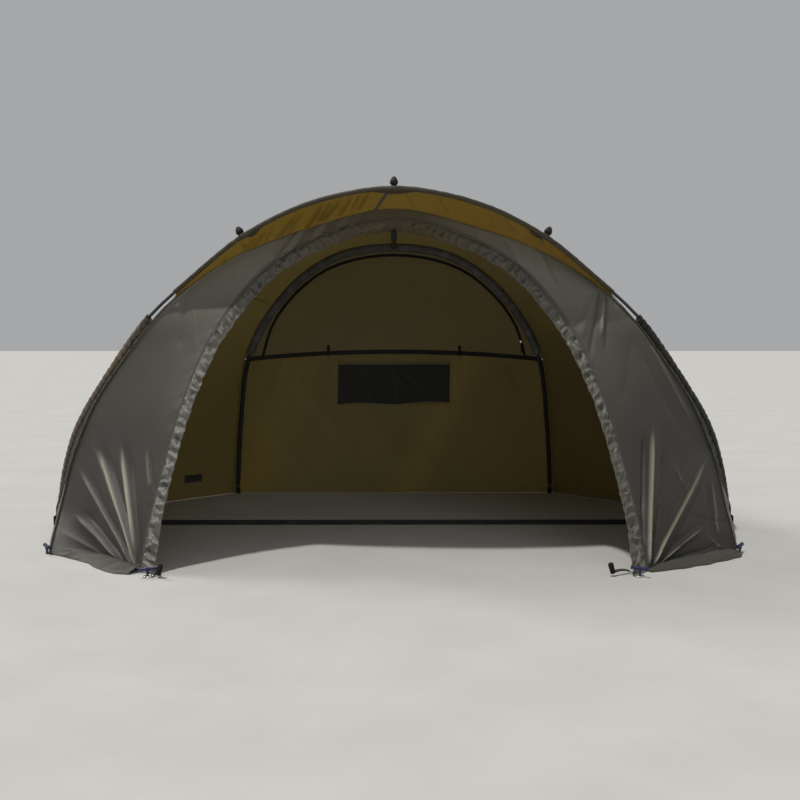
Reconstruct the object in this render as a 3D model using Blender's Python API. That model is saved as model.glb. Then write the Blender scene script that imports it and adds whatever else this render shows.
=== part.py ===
"""Angler's shelter with an open front: two arched poles, a stretched skin with a peak, and a flat back wall.

X runs to the right, Y to the back and Z up, in metres. The layout below has Y = 0 on the line
between the two pole hubs, and the parent empty moves it so that the origin is under the middle.
Curves are given for the right half, from the ridge down, and mirrored.
"""

import math

import bmesh
import bpy
from mathutils import Vector
from mathutils.bvhtree import BVHTree
from mathutils.geometry import tessellate_polygon

# Gaps and thicknesses
FIT_GAP = 0.0003
CLOTH = 0.004
RIM_CLOTH = 0.006
TRIM = 0.003
SLEEVE_CLOTH = 0.003
BORE_GAP = 0.001

# From the middle of the whole shelter to the line between the hubs
HUB_LINE_Y = 0.0338

# Front pole: an arch in a plane that leans forward from the hubs, as (x, z)
POLE_RADIUS = 0.006
FRONT_LEAN = 0.636
HUB_TOP = 0.045
FRONT_POLE = (
    (0.0, 1.339),
    (0.176, 1.320),
    (0.355, 1.271),
    (0.557, 1.174),
    (0.735, 1.047),
    (0.944, 0.878),
    (1.164, 0.623),
    (1.290, 0.450),
    (1.372, 0.280),
    (1.430, 0.119),
    (1.452, 0.075),
)
POLE_STEPS = 28
HEM_STEPS = 12
KNOB_STEPS = (7, 8)
KNOB_PROFILE = (
    (0.0, 0.0),
    (0.0090, 0.0),
    (0.0125, 0.0035),
    (0.0148, 0.0070),
    (0.0143, 0.0125),
    (0.0120, 0.0195),
    (0.0082, 0.0262),
    (0.0038, 0.0302),
    (0.0, 0.0312),
)
SLEEVE_TOP_STEP = 14
SLEEVE_FOOT_STEP = 27
HEM_RADIUS = 0.0115
SLEEVE_REACH = 0.040
SLEEVE_SHARE = 0.72
SLEEVE_HALF_DEPTH = 0.012

# Skin: four lines from the ridge to the ground, front to back, as (x, y, z)
FOLD_LINE = (
    (0.0, -0.56, 1.295),
    (0.275, -0.56, 1.237),
    (0.620, -0.56, 1.104),
    (0.860, -0.55, 0.930),
    (1.050, -0.47, 0.710),
    (1.175, -0.38, 0.530),
    (1.262, -0.33, 0.340),
    (1.295, -0.43, 0.150),
    (1.300, -0.62, 0.0),
)
HUB_LINE = (
    (0.0, -0.08, 1.370),
    (0.450, -0.08, 1.275),
    (0.780, -0.08, 1.095),
    (1.000, -0.08, 0.880),
    (1.215, -0.06, 0.600),
    (1.350, -0.03, 0.300),
    (1.425, 0.0, 0.0),
)
MIDDLE_LINE = (
    (0.0, 0.38, 1.335),
    (0.380, 0.39, 1.245),
    (0.690, 0.40, 1.065),
    (0.930, 0.42, 0.850),
    (1.085, 0.45, 0.600),
    (1.170, 0.49, 0.300),
    (1.190, 0.52, 0.0),
)
# The outline of the back wall in its own leaning plane, as (x, height)
BACK_LINE = (
    (0.0, 1.278),
    (0.268, 1.240),
    (0.478, 1.118),
    (0.660, 0.905),
    (0.757, 0.700),
    (0.805, 0.350),
    (0.828, 0.0),
)
WALL_FOOT_Y = 0.95
WALL_LEAN = 0.104
SKIN_ROWS = 29
PINCH_ROW = 12
SKIN_COLUMNS = 8
# From this share of the way back, the skin's thickness turns into the plane of the back wall
EDGE_TURN_START = 0.6

# Every cloth takes its thickness towards this point, level with itself near the ground
FOCUS_Y = 0.02
FOCUS_Z = 0.30

# Opening in the front panel: its edge leans back from the front pegs, as (x, z)
RIM_FOOT_Y = -0.98
RIM_LEAN = 0.375
RIM_EDGE = (
    (0.0, 1.200),
    (0.200, 1.165),
    (0.430, 1.055),
    (0.604, 0.847),
    (0.672, 0.720),
    (0.733, 0.550),
    (0.781, 0.350),
    (0.813, 0.175),
    (0.828, 0.0),
)
RIM_WIDTH = 0.065
FRONT_COLUMNS = 4
BRIM_COLUMNS = 3

# Back pole and what is sewn to the back wall, as (x, height) in the wall's plane
BACK_POLE_RADIUS = 0.008
BACK_POLE_INSET = 0.022
BACK_FOOT_HEIGHT = 0.030
BACK_FOOT_RADIUS = 0.011
ARCH_SLEEVE_HALF_WIDTH = 0.020
WALL_BOTTOM = 0.0005
HINGE_MIDDLE = 0.735
HINGE_DROP = 0.037
HINGE_HALF_SPAN = 0.731
HINGE_TAPE_WIDTH = 0.022
ZIP_LINE = ((0.0, 1.220), (0.345, 1.143), (0.590, 0.910), (0.680, 0.660))
ZIP_WIDTH = 0.014
ZIP_STEPS = 14
SLIDER_OUTLINE = ((-0.009, -0.014), (0.009, -0.014), (0.007, 0.014), (-0.007, 0.014))
SLIDER_DEPTH = 0.006
WINDOW_HALF_WIDTH = 0.275
WINDOW_BOTTOM = 0.482
WINDOW_TOP = 0.672
MESH_DEPTHS = (0.001, 0.003)
FLAP_HALF_WIDTH = 0.297
FLAP_BOTTOM = 0.460
FLAP_TOP = 0.700
TOGGLE_X = 0.331
TOGGLE_SIZE = (0.014, 0.044, 0.010)

# Tension bar and its block
BAR_RADIUS = 0.010
BAR_FRONT = (0.0, -0.5385, 1.183)
BLOCK_SIZE = (0.022, 0.026, 0.044)
BLOCK_TOP = 1.216
BLOCK_BEVEL = 0.004

# Ground parts
HUB_SIZE = (0.036, 0.060)
STRAP_WIDTH = 0.022
STRAP_THICKNESS = 0.002
PEG_RADIUS = 0.0045
PEG_BAR_RADIUS = 0.0065
PEG_BAR_HALF_LENGTH = 0.032
PEG_BAR_HEIGHT = 0.030
FRONT_PEG = (0.838, -1.024)
RING_RADIUS = 0.017
RING_WIRE = 0.0022
TAB_WIDTH = 0.022
TAB_THICKNESS = 0.0025
PATCH_ROWS = (27.10, 27.70)
PATCH_COLUMNS = (6.47, 6.95)
PATCH_STEPS = 8
PATCH_THICKNESS = 0.0012
PROBE = 0.05

# On the right: the way from the hem to each peg that stands against it, and the way its bar points
CORNER_PEG_WAY = Vector((0.8, -0.6))
CORNER_BAR_WAY = Vector((0.5, 0.866))
BACK_PEG_WAY = Vector((1.0, 1.0)).normalized()
BACK_BAR_WAY = Vector((1.0, -1.0)).normalized()
FRONT_BAR_WAY = Vector((0.8, -0.6))

SIDES = (("left", -1.0), ("right", 1.0))
UP = Vector((0.0, 0.0, 1.0))


def mirrored(point):
    return Vector((-point.x, *point[1:]))


def mix(first, second, share):
    return first + (second - first) * share


def curve_span(p0, p1, p2, p3, steps):
    """Points on the centripetal Catmull-Rom span from p1 to p2, without p2."""
    knots = [0.0]
    for a, b in ((p0, p1), (p1, p2), (p2, p3)):
        knots.append(knots[-1] + math.sqrt((b - a).length))
    t0, t1, t2, t3 = knots
    found = []
    for step in range(steps):
        t = t1 + (t2 - t1) * step / steps
        a1 = mix(p0, p1, (t - t0) / (t1 - t0))
        a2 = mix(p1, p2, (t - t1) / (t2 - t1))
        a3 = mix(p2, p3, (t - t2) / (t3 - t2))
        b1 = mix(a1, a2, (t - t0) / (t2 - t0))
        b2 = mix(a2, a3, (t - t1) / (t3 - t1))
        found.append(mix(b1, b2, (t - t1) / (t2 - t1)))
    return found


def smooth_line(points, steps, from_ridge=False):
    """Evenly spaced points, steps + 1 of them, on a smooth curve through the given ones."""
    points = [Vector(p) for p in points]
    before = mirrored(points[1]) if from_ridge else points[0] * 2 - points[1]
    after = points[-1] * 2 - points[-2]
    padded = [before, *points, after]
    dense = []
    for i in range(len(points) - 1):
        dense += curve_span(*padded[i : i + 4], 24)
    dense.append(points[-1])
    return spaced(dense, steps)


def spaced(points, steps):
    """The polyline's points at steps + 1 even distances along it."""
    lengths = [0.0]
    for a, b in zip(points, points[1:]):
        lengths.append(lengths[-1] + (b - a).length)
    found = []
    k = 0
    for step in range(steps + 1):
        wanted = lengths[-1] * step / steps
        while k < len(points) - 2 and lengths[k + 1] < wanted:
            k += 1
        found.append(mix(points[k], points[k + 1], (wanted - lengths[k]) / (lengths[k + 1] - lengths[k])))
    return found


def whole(half):
    """A right half that starts at the ridge, made into the line from the left foot to the right foot."""
    return [mirrored(p) for p in reversed(half[1:])] + list(half)


def inward(point):
    target = Vector((0.0, FOCUS_Y, min(point.z, FOCUS_Z)))
    return (target - point).normalized()


def material(name, colour, roughness, metallic=0.0):
    made = bpy.data.materials.new(name)
    made.use_nodes = True
    shader = made.node_tree.nodes["Principled BSDF"]
    shader.inputs["Base Color"].default_value = (*colour, 1.0)
    shader.inputs["Roughness"].default_value = roughness
    shader.inputs["Metallic"].default_value = metallic
    return made


def add_object(name, mesh, finish):
    mesh.materials.append(finish)
    mesh.shade_smooth()
    mesh.set_sharp_from_angle(angle=math.radians(35))
    made = bpy.data.objects.new(name, mesh)
    made.parent = bpy.data.objects["shelter_middle"]
    bpy.context.scene.collection.objects.link(made)
    return made


def add_bmesh(name, bm, finish):
    bmesh.ops.recalc_face_normals(bm, faces=bm.faces)
    mesh = bpy.data.meshes.new(name)
    bm.to_mesh(mesh)
    bm.free()
    return add_object(name, mesh, finish)


def sheet(name, outer, inner, finish):
    """A closed cloth between two matching grids of points."""
    bm = bmesh.new()
    rows, columns = len(outer), len(outer[0])
    top = [[bm.verts.new(p) for p in row] for row in outer]
    under = [[bm.verts.new(p) for p in row] for row in inner]
    for i in range(rows - 1):
        for j in range(columns - 1):
            bm.faces.new((top[i][j], top[i + 1][j], top[i + 1][j + 1], top[i][j + 1]))
            bm.faces.new((under[i][j], under[i][j + 1], under[i + 1][j + 1], under[i + 1][j]))
    edge = [(i, 0) for i in range(rows)]
    edge += [(rows - 1, j) for j in range(1, columns)]
    edge += [(i, columns - 1) for i in range(rows - 2, -1, -1)]
    edge += [(0, j) for j in range(columns - 2, 0, -1)]
    for (a, b), (c, d) in zip(edge, edge[1:] + edge[:1]):
        bm.faces.new((top[c][d], top[a][b], under[a][b], under[c][d]))
    return add_bmesh(name, bm, finish)


def narrowed(grid, rows=(False, False), columns=(False, False)):
    """The grid with the named first and last rows and columns drawn in by half a gap."""
    grid = [[p.copy() for p in row] for row in grid]

    def draw_in(point, neighbour):
        point += (neighbour - point).normalized() * (FIT_GAP / 2)

    for at, used in ((0, columns[0]), (-1, columns[1])):
        for row in grid:
            if used:
                draw_in(row[at], row[1 if at == 0 else -2])
    for at, used in ((0, rows[0]), (-1, rows[1])):
        for point, neighbour in zip(grid[at], grid[1 if at == 0 else -2]):
            if used:
                draw_in(point, neighbour)
    return grid


def thickened(grid, thickness):
    return [[p + inward(p) * thickness for p in row] for row in grid]


def flat_solid(name, loops, place, low, high, finish):
    """A flat plate from 2D loops, the first one its outline and the others holes, between two depths."""
    bm = bmesh.new()
    rings = []
    for loop in loops:
        rings.append([(bm.verts.new(place(*p, low)), bm.verts.new(place(*p, high))) for p in loop])
    corners = [pair for ring in rings for pair in ring]
    flat = [[Vector((*p, 0.0)) for p in loop] for loop in loops]
    for a, b, c in tessellate_polygon(flat):
        bm.faces.new([corners[k][0] for k in (a, b, c)])
        bm.faces.new([corners[k][1] for k in (c, b, a)])
    for ring in rings:
        for (a, b), (c, d) in zip(ring, ring[1:] + ring[:1]):
            bm.faces.new((a, b, d, c))
    return add_bmesh(name, bm, finish)


def tube(name, points, radius, finish):
    curve = bpy.data.curves.new(name, "CURVE")
    curve.dimensions = "3D"
    curve.bevel_depth = radius
    curve.bevel_resolution = 2
    curve.use_fill_caps = True
    spline = curve.splines.new("POLY")
    spline.points.add(len(points) - 1)
    for point, place in zip(spline.points, points):
        point.co = (*place, 1.0)
    curve.materials.append(finish)
    made = bpy.data.objects.new(name, curve)
    made.parent = bpy.data.objects["shelter_middle"]
    bpy.context.scene.collection.objects.link(made)
    return made


def cross_axes(path, i, towards):
    """Two unit vectors across the path at its point i: the first one leans towards the given way."""
    along = (path[min(i + 1, len(path) - 1)] - path[max(i - 1, 0)]).normalized()
    across = (towards - along * towards.dot(along)).normalized()
    return across, along.cross(across)


def sleeve(name, path, towards, spans, half_depth, bore, finish, sides=12):
    """A flattened tube of cloth around a pole, spanning from behind it to the side it leans towards."""
    bm = bmesh.new()
    rings = []
    for i, centre in enumerate(path):
        across, out = cross_axes(path, i, towards[i])
        low, high = spans[i]
        ring = []
        for middle, width, depth in (((low + high) / 2, (high - low) / 2, half_depth), (0.0, bore, bore)):
            for k in range(sides):
                angle = math.tau * k / sides
                place = centre + across * (middle + math.cos(angle) * width)
                ring.append(bm.verts.new(place + out * (math.sin(angle) * depth)))
        rings.append((ring[:sides], ring[sides:]))
    for k in range(sides):
        n = (k + 1) % sides
        for (outer, hole), (next_outer, next_hole) in zip(rings, rings[1:]):
            bm.faces.new((outer[k], outer[n], next_outer[n], next_outer[k]))
            bm.faces.new((hole[k], next_hole[k], next_hole[n], hole[n]))
        for outer, hole in (rings[0], rings[-1]):
            bm.faces.new((outer[k], hole[k], hole[n], outer[n]))
    return add_bmesh(name, bm, finish)


def turned(name, profile, foot, up, finish, sides=16):
    """A round piece from its profile of (radius, height), closed on its axis, standing at foot along up."""
    bm = bmesh.new()
    across = up.orthogonal().normalized()
    out = up.cross(across)
    rings = []
    for radius, height in profile:
        centre = foot + up * height
        angles = [math.tau * k / sides for k in range(sides)] if radius else [0.0]
        ways = [across * math.cos(a) + out * math.sin(a) for a in angles]
        rings.append([bm.verts.new(centre + way * radius) for way in ways])
    for low, high in zip(rings, rings[1:]):
        for k in range(sides):
            n = (k + 1) % sides
            corners = (low[k % len(low)], low[n % len(low)], high[n % len(high)], high[k % len(high)])
            bm.faces.new(list(dict.fromkeys(corners)))
    return add_bmesh(name, bm, finish)


def plain_post(radius, height):
    return [(0.0, 0.0), (radius, 0.0), (radius, height), (0.0, height)]


def block(name, low, high, finish, bevel=0.0):
    bm = bmesh.new()
    bmesh.ops.create_cube(bm, size=1.0)
    middle = (Vector(low) + Vector(high)) / 2
    size = Vector(high) - Vector(low)
    for vert in bm.verts:
        vert.co = middle + Vector(a * b for a, b in zip(vert.co, size))
    if bevel:
        bmesh.ops.bevel(bm, geom=bm.edges[:], offset=bevel, segments=2, affect="EDGES")
    return add_bmesh(name, bm, finish)


# The curves that the pieces share


def front_pole_line():
    """The front pole's points, ridge to foot: the last one stands straight over the hub."""
    placed = [(x, -FRONT_LEAN * (z - FRONT_POLE[-1][1]), z) for x, z in FRONT_POLE]
    line = smooth_line(placed, POLE_STEPS, from_ridge=True)
    foot = line[-1]
    return line + [Vector((foot.x, foot.y, HUB_TOP + FIT_GAP))]


WALL_UP = Vector((0.0, -WALL_LEAN, 1.0)).normalized()
WALL_IN = Vector((0.0, -1.0, -WALL_LEAN)).normalized()


def on_wall(x, height, depth):
    """A point at a height up the back wall's outer face, and at a depth from it into the shelter."""
    return Vector((x, WALL_FOOT_Y, 0.0)) + WALL_UP * height + WALL_IN * depth


def back_outline():
    """The skin's back edge in the wall's plane, left foot to right foot, with the way in at each point."""
    half = smooth_line([(x, h, 0.0) for x, h in BACK_LINE], SKIN_ROWS, from_ridge=True)
    line = whole(half)
    ways = []
    for i in range(len(line)):
        along = line[min(i + 1, len(line) - 1)] - line[max(i - 1, 0)]
        ways.append(Vector((along.y, -along.x, 0.0)).normalized())
    ways[0] = Vector((1.0, 0.0, 0.0))
    ways[-1] = Vector((-1.0, 0.0, 0.0))
    return line, ways


def inset(line, ways, distance):
    return [(p.x + w.x * distance, p.y + w.y * distance) for p, w in zip(line, ways)]


def hinge_height(x):
    return HINGE_MIDDLE - HINGE_DROP * (x / HINGE_HALF_SPAN) ** 2


def skin_grid():
    """Outer and inner points of the whole skin, rows from left foot to right foot, columns front to back."""
    halves = [smooth_line(line, SKIN_ROWS, from_ridge=True) for line in (FOLD_LINE, HUB_LINE, MIDDLE_LINE)]
    lines = [whole(half) for half in halves]
    outline, ways = back_outline()
    lines.append([on_wall(p.x, p.y, 0.0) for p in outline])
    outer = [smooth_line(points, SKIN_COLUMNS) for points in zip(*lines)]
    inner = []
    for row, way in zip(outer, ways):
        edge_way = Vector((way.x, 0.0, 0.0)) + WALL_UP * way.y
        thick_row = []
        for j, point in enumerate(row):
            share = max(0.0, (j / SKIN_COLUMNS - EDGE_TURN_START) / (1.0 - EDGE_TURN_START))
            thick_row.append(point + mix(inward(point), edge_way, share).normalized() * CLOTH)
        inner.append(thick_row)
    return outer, inner


def front_grid(fold):
    """Outer points of the front panel, from just under the fold to the opening's edge."""
    placed = [(x, RIM_FOOT_Y + RIM_LEAN * z, z) for x, z in RIM_EDGE]
    rim = whole(smooth_line(placed, SKIN_ROWS, from_ridge=True))
    grid = []
    for top, edge in zip(fold, rim):
        start = top + inward(top) * (CLOTH + FIT_GAP)
        stitch = edge + (start - edge).normalized() * RIM_WIDTH
        grid.append([mix(start, stitch, j / FRONT_COLUMNS) for j in range(FRONT_COLUMNS + 1)] + [edge])
    return grid


# The cloth


def add_skin(outer, inner, finish):
    first, last = SKIN_ROWS - PINCH_ROW, SKIN_ROWS + PINCH_ROW
    spans = (
        ("left_side_panel", 0, first, (False, True)),
        ("roof_panel", first, last, (True, True)),
        ("right_side_panel", last, 2 * SKIN_ROWS, (True, False)),
    )
    for name, low, high, cut in spans:
        columns = (name == "roof_panel", False)
        top = narrowed(outer[low : high + 1], rows=cut, columns=columns)
        under = narrowed(inner[low : high + 1], rows=cut, columns=columns)
        sheet(name, top, under, finish)


def add_front(grid, finish, rim_finish):
    first, last = SKIN_ROWS - PINCH_ROW, SKIN_ROWS + PINCH_ROW
    spans = (
        ("left_wing", 0, first, (False, True)),
        ("front_header", first, last, (True, True)),
        ("right_wing", last, 2 * SKIN_ROWS, (True, False)),
    )
    panel = [row[:-1] for row in grid]
    for name, low, high, cut in spans:
        outer = narrowed(panel[low : high + 1], rows=cut, columns=(False, True))
        sheet(name, outer, thickened(outer, CLOTH), finish)
    rim = narrowed([row[-2:] for row in grid], columns=(True, False))
    sheet("front_rim", rim, thickened(rim, RIM_CLOTH), rim_finish)


def add_peak(fold, pole, finish, hem_finish):
    """The peak, from the fold to the pole, and its hem round the pole."""
    top = fold[SKIN_ROWS - HEM_STEPS : SKIN_ROWS + HEM_STEPS + 1]
    path = whole(pole[: HEM_STEPS + 1])
    towards = [back - centre for back, centre in zip(top, path)]
    grid = []
    for i, (back, centre) in enumerate(zip(top, path)):
        way, _ = cross_axes(path, i, towards[i])
        thick = inward(centre) * CLOTH
        reach = HEM_RADIUS + FIT_GAP + abs(thick.dot(way)) / 2
        front = centre + way * reach - thick / 2
        grid.append([mix(back, front, j / BRIM_COLUMNS) for j in range(BRIM_COLUMNS + 1)])
    outer = narrowed(grid, columns=(True, False))
    sheet("peak", outer, thickened(outer, CLOTH), finish)
    round_span = [(-HEM_RADIUS, HEM_RADIUS)] * len(path)
    sleeve("peak_hem", path, towards, round_span, HEM_RADIUS, POLE_RADIUS + BORE_GAP, hem_finish)


def add_leg_sleeves(pole, fold, finish):
    """The sleeves on the legs of the front pole reach from behind it towards the skin's fold."""
    path = pole[SLEEVE_TOP_STEP : SLEEVE_FOOT_STEP + 1]
    towards = []
    spans = []
    for centre in path:
        way = min((p - centre for p in fold[SKIN_ROWS:]), key=lambda gap: gap.length)
        towards.append(way)
        spans.append((-SLEEVE_HALF_DEPTH, min(SLEEVE_REACH, way.length * SLEEVE_SHARE)))
    for side, sign in SIDES:
        line = path if sign > 0 else [mirrored(p) for p in path]
        ways = towards if sign > 0 else [mirrored(p) for p in towards]
        sleeve(f"{side}_pole_sleeve", line, ways, spans, SLEEVE_HALF_DEPTH, POLE_RADIUS + BORE_GAP, finish)


# The back wall and what it carries


def hinge_line(low_x, high_x, shift, steps=16):
    found = []
    for k in range(steps + 1):
        x = low_x + (high_x - low_x) * k / steps
        found.append((x, hinge_height(x) + shift))
    return found


def crossing(a, b, shift):
    """Where the segment from a to b meets the hinge line, which is raised by shift."""
    low, high = 0.0, 1.0
    above = a[1] > hinge_height(a[0]) + shift
    for _ in range(40):
        middle = (low + high) / 2
        x, height = a[0] + (b[0] - a[0]) * middle, a[1] + (b[1] - a[1]) * middle
        if (height > hinge_height(x) + shift) == above:
            low = middle
        else:
            high = middle
    return (a[0] + (b[0] - a[0]) * low, a[1] + (b[1] - a[1]) * low)


def split_outline(line, shift):
    """The right half of an outline, cut at the hinge line: the points above it and the points below it."""
    half = line[len(line) // 2 :]
    cut = next(k for k, p in enumerate(half) if p[1] < hinge_height(p[0]) + shift)
    meet = crossing(half[cut - 1], half[cut], shift)
    return half[:cut] + [meet], [meet] + half[cut:]


def mirrored_outline(half):
    """A loop's right half from the middle line outwards, with the left half before it."""
    return [(-x, h) for x, h in reversed(half) if x > 0] + list(half)


def offset_line(line, distance):
    """A line from left to right in the wall's plane, moved to its own left side, which is up."""
    found = []
    for i, (x, h) in enumerate(line):
        before, after = line[max(i - 1, 0)], line[min(i + 1, len(line) - 1)]
        along = Vector((after[0] - before[0], after[1] - before[1])).normalized()
        found.append((x - along.y * distance, h + along.x * distance))
    return found


def zip_line(shift=0.0):
    half = smooth_line([(x, h, 0.0) for x, h in ZIP_LINE], ZIP_STEPS, from_ridge=True)
    return offset_line([(p.x, p.y) for p in whole(half)], shift)


def above_hinge(line, shift):
    """The part of a left-to-right arch above the hinge line, ending on it."""
    above, _ = split_outline(line, shift)
    return mirrored_outline(above)


def add_back_wall(outline, ways, cloth, door_cloth, mesh_cloth):
    edge = inset(outline, ways, CLOTH + FIT_GAP)
    half_gap = FIT_GAP / 2
    _, below = split_outline(edge, -half_gap)
    below[-1] = (below[-1][0], WALL_BOTTOM)
    right = list(below)
    left = [(-x, h) for x, h in reversed(right)]
    span = right[0][0]
    lower = left + hinge_line(-span, span, -half_gap)[1:-1] + right
    window = [
        (-WINDOW_HALF_WIDTH, WINDOW_BOTTOM),
        (-WINDOW_HALF_WIDTH, WINDOW_TOP),
        (WINDOW_HALF_WIDTH, WINDOW_TOP),
        (WINDOW_HALF_WIDTH, WINDOW_BOTTOM),
    ]
    flat_solid("back_lower_wall", [lower, window], on_wall, 0.0, CLOTH, cloth)
    flat_solid("mesh_window", [[drawn_in(p) for p in window]], on_wall, *MESH_DEPTHS, mesh_cloth)

    border_inner = above_hinge(zip_line(half_gap), half_gap)
    border_outer = above_hinge(edge, half_gap)
    flat_solid("back_arch_border", [border_outer + border_inner[::-1]], on_wall, 0.0, CLOTH, cloth)
    door = above_hinge(zip_line(-half_gap), half_gap)
    door_base = hinge_line(door[-1][0], door[0][0], half_gap)[1:-1]
    flat_solid("back_door_panel", [door + door_base], on_wall, 0.0, CLOTH, door_cloth)

    flap = [(-FLAP_HALF_WIDTH, FLAP_BOTTOM), (FLAP_HALF_WIDTH, FLAP_BOTTOM)]
    flap += [(FLAP_HALF_WIDTH, FLAP_TOP), (-FLAP_HALF_WIDTH, FLAP_TOP)]
    flat_solid("window_storm_flap", [flap], on_wall, -FIT_GAP - TRIM, -FIT_GAP, cloth)


def drawn_in(point):
    """A window corner moved in by one gap."""
    x, height = point
    middle = (WINDOW_BOTTOM + WINDOW_TOP) / 2
    return (x - math.copysign(FIT_GAP, x), height - math.copysign(FIT_GAP, height - middle))


def add_back_trim(outline, ways, trim_finish, plastic, steel):
    """The tape, the zip and its slider, and the toggles, on the wall's inner face."""
    face = CLOTH + FIT_GAP
    half = HINGE_TAPE_WIDTH / 2
    tape = hinge_line(-HINGE_HALF_SPAN, HINGE_HALF_SPAN, half)
    tape += hinge_line(HINGE_HALF_SPAN, -HINGE_HALF_SPAN, -half)
    flat_solid("hinge_tape", [tape], on_wall, face, face + TRIM, trim_finish)

    start = half + FIT_GAP
    outer = above_hinge(zip_line(ZIP_WIDTH / 2), start)
    inner = above_hinge(zip_line(-ZIP_WIDTH / 2), start)
    flat_solid("zip_arc", [outer + inner[::-1]], on_wall, face, face + TRIM, plastic)

    x, height = zip_line()[-3]
    slider = [(x + across, height + up) for across, up in SLIDER_OUTLINE]
    slider_face = face + TRIM + FIT_GAP
    flat_solid("zip_slider", [slider], on_wall, slider_face, slider_face + SLIDER_DEPTH, steel)

    width, tall, deep = TOGGLE_SIZE
    toggle_face = face + TRIM + FIT_GAP
    for side, sign in SIDES:
        x = sign * TOGGLE_X
        low = hinge_height(x) - half
        loop = [(x - width / 2, low), (x + width / 2, low)]
        loop += [(x + width / 2, low + tall), (x - width / 2, low + tall)]
        flat_solid(f"{side}_door_toggle", [loop], on_wall, toggle_face, toggle_face + deep, plastic)


def add_back_pole(outline, ways, metal, sleeve_finish, plastic):
    depth = CLOTH + FIT_GAP + SLEEVE_CLOTH + BORE_GAP + BACK_POLE_RADIUS
    centres = inset(outline, ways, BACK_POLE_INSET)
    lowest = BACK_FOOT_HEIGHT + 2 * BACK_POLE_RADIUS
    used = [p for p in centres if p[1] > lowest + 0.01]
    ends = [(used[0][0], lowest), (used[-1][0], lowest)]
    path = [on_wall(x, h, depth) for x, h in [ends[0], *used, ends[1]]]
    foot_z = BACK_FOOT_HEIGHT + FIT_GAP
    feet = [Vector((path[k].x, path[k].y, foot_z)) for k in (0, -1)]
    tube("back_pole", [feet[0], *path, feet[1]], BACK_POLE_RADIUS, metal)
    for (side, _), foot in zip(SIDES, feet):
        ground = Vector((foot.x, foot.y, 0.0))
        turned(f"{side}_back_foot", plain_post(BACK_FOOT_RADIUS, BACK_FOOT_HEIGHT), ground, UP, plastic)

    arch = [k for k, p in enumerate(centres) if p[1] > hinge_height(p[0]) + HINGE_TAPE_WIDTH]
    line = [on_wall(*centres[k], depth) for k in arch]
    towards = [Vector((ways[k].x, 0.0, 0.0)) + WALL_UP * ways[k].y for k in arch]
    bore = BACK_POLE_RADIUS + BORE_GAP
    half_depth = bore + SLEEVE_CLOTH
    spans = [(-ARCH_SLEEVE_HALF_WIDTH, ARCH_SLEEVE_HALF_WIDTH)] * len(line)
    sleeve("back_pole_sleeve", line, towards, spans, half_depth, bore, sleeve_finish)
    return on_wall(*centres[len(centres) // 2], depth)


# Frame fittings


def add_front_pole(pole, metal, plastic):
    tube("front_pole", whole(pole), POLE_RADIUS, metal)
    foot = pole[-1]
    width, deep = HUB_SIZE
    inner_x = HUB_LINE[-1][0] + FIT_GAP
    for side, sign in SIDES:
        near_x, far_x = sorted((sign * inner_x, sign * (inner_x + width)))
        low = (near_x, foot.y - deep / 2, 0.0)
        high = (far_x, foot.y + deep / 2, HUB_TOP)
        block(f"{side}_hub", low, high, plastic, bevel=BLOCK_BEVEL)


def add_knobs(pole, fold, plastic):
    """A rounded knob on the hem at the ridge and at the side points of the peak."""
    places = (("ridge_knob", (0, 0), 1.0), ("left_knob", KNOB_STEPS, -1.0), ("right_knob", KNOB_STEPS, 1.0))
    for name, (near, far), sign in places:
        centre = mix(pole[near], pole[far], 0.5)
        before = pole[near - 1] if near else mirrored(pole[1])
        along = pole[far + 1] - before
        to_fold = mix(fold[SKIN_ROWS + near], fold[SKIN_ROWS + far], 0.5) - centre
        up = along.cross(to_fold).normalized()
        up = up if up.z > 0 else -up
        if sign < 0:
            centre, up = mirrored(centre), mirrored(up)
        turned(name, KNOB_PROFILE, centre + up * (HEM_RADIUS + FIT_GAP), up, plastic)


def add_tension_bar(back_pole_top, metal, plastic):
    front = Vector(BAR_FRONT)
    way = (back_pole_top - front).normalized()
    back = back_pole_top - way * (BACK_POLE_RADIUS + BORE_GAP + SLEEVE_CLOTH + FIT_GAP)
    seat = front + way * (BAR_RADIUS * abs(way.z))
    tube("roof_tension_bar", [seat, back], BAR_RADIUS, metal)
    width, deep, tall = BLOCK_SIZE
    low = (-width / 2, front.y - FIT_GAP - deep, BLOCK_TOP - tall)
    high = (width / 2, front.y - FIT_GAP, BLOCK_TOP)
    block("tension_bar_block", low, high, plastic, bevel=BLOCK_BEVEL)


def panel_tree(name):
    panel = bpy.data.objects[name].data
    panel.calc_loop_triangles()
    corners = [tuple(triangle.vertices) for triangle in panel.loop_triangles]
    return BVHTree.FromPolygons([v.co for v in panel.vertices], corners)


def add_ground_strap(finish):
    """A taut strap on edge along the ground, up to the inside of the side walls in front of the hubs."""
    half = STRAP_THICKNESS / 2
    starts = [Vector((0.0, y, z)) for y in (-half, 0.0, half) for z in (STRAP_WIDTH / 4, STRAP_WIDTH)]
    free = []
    for side, sign in SIDES:
        tree = panel_tree(f"{side}_side_panel")
        free += [tree.ray_cast(start, Vector((sign, 0.0, 0.0)))[3] for start in starts]
    reach = min(free) - FIT_GAP
    block("ground_strap", (-reach, -half, 0.0), (reach, half, STRAP_WIDTH), finish)


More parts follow.
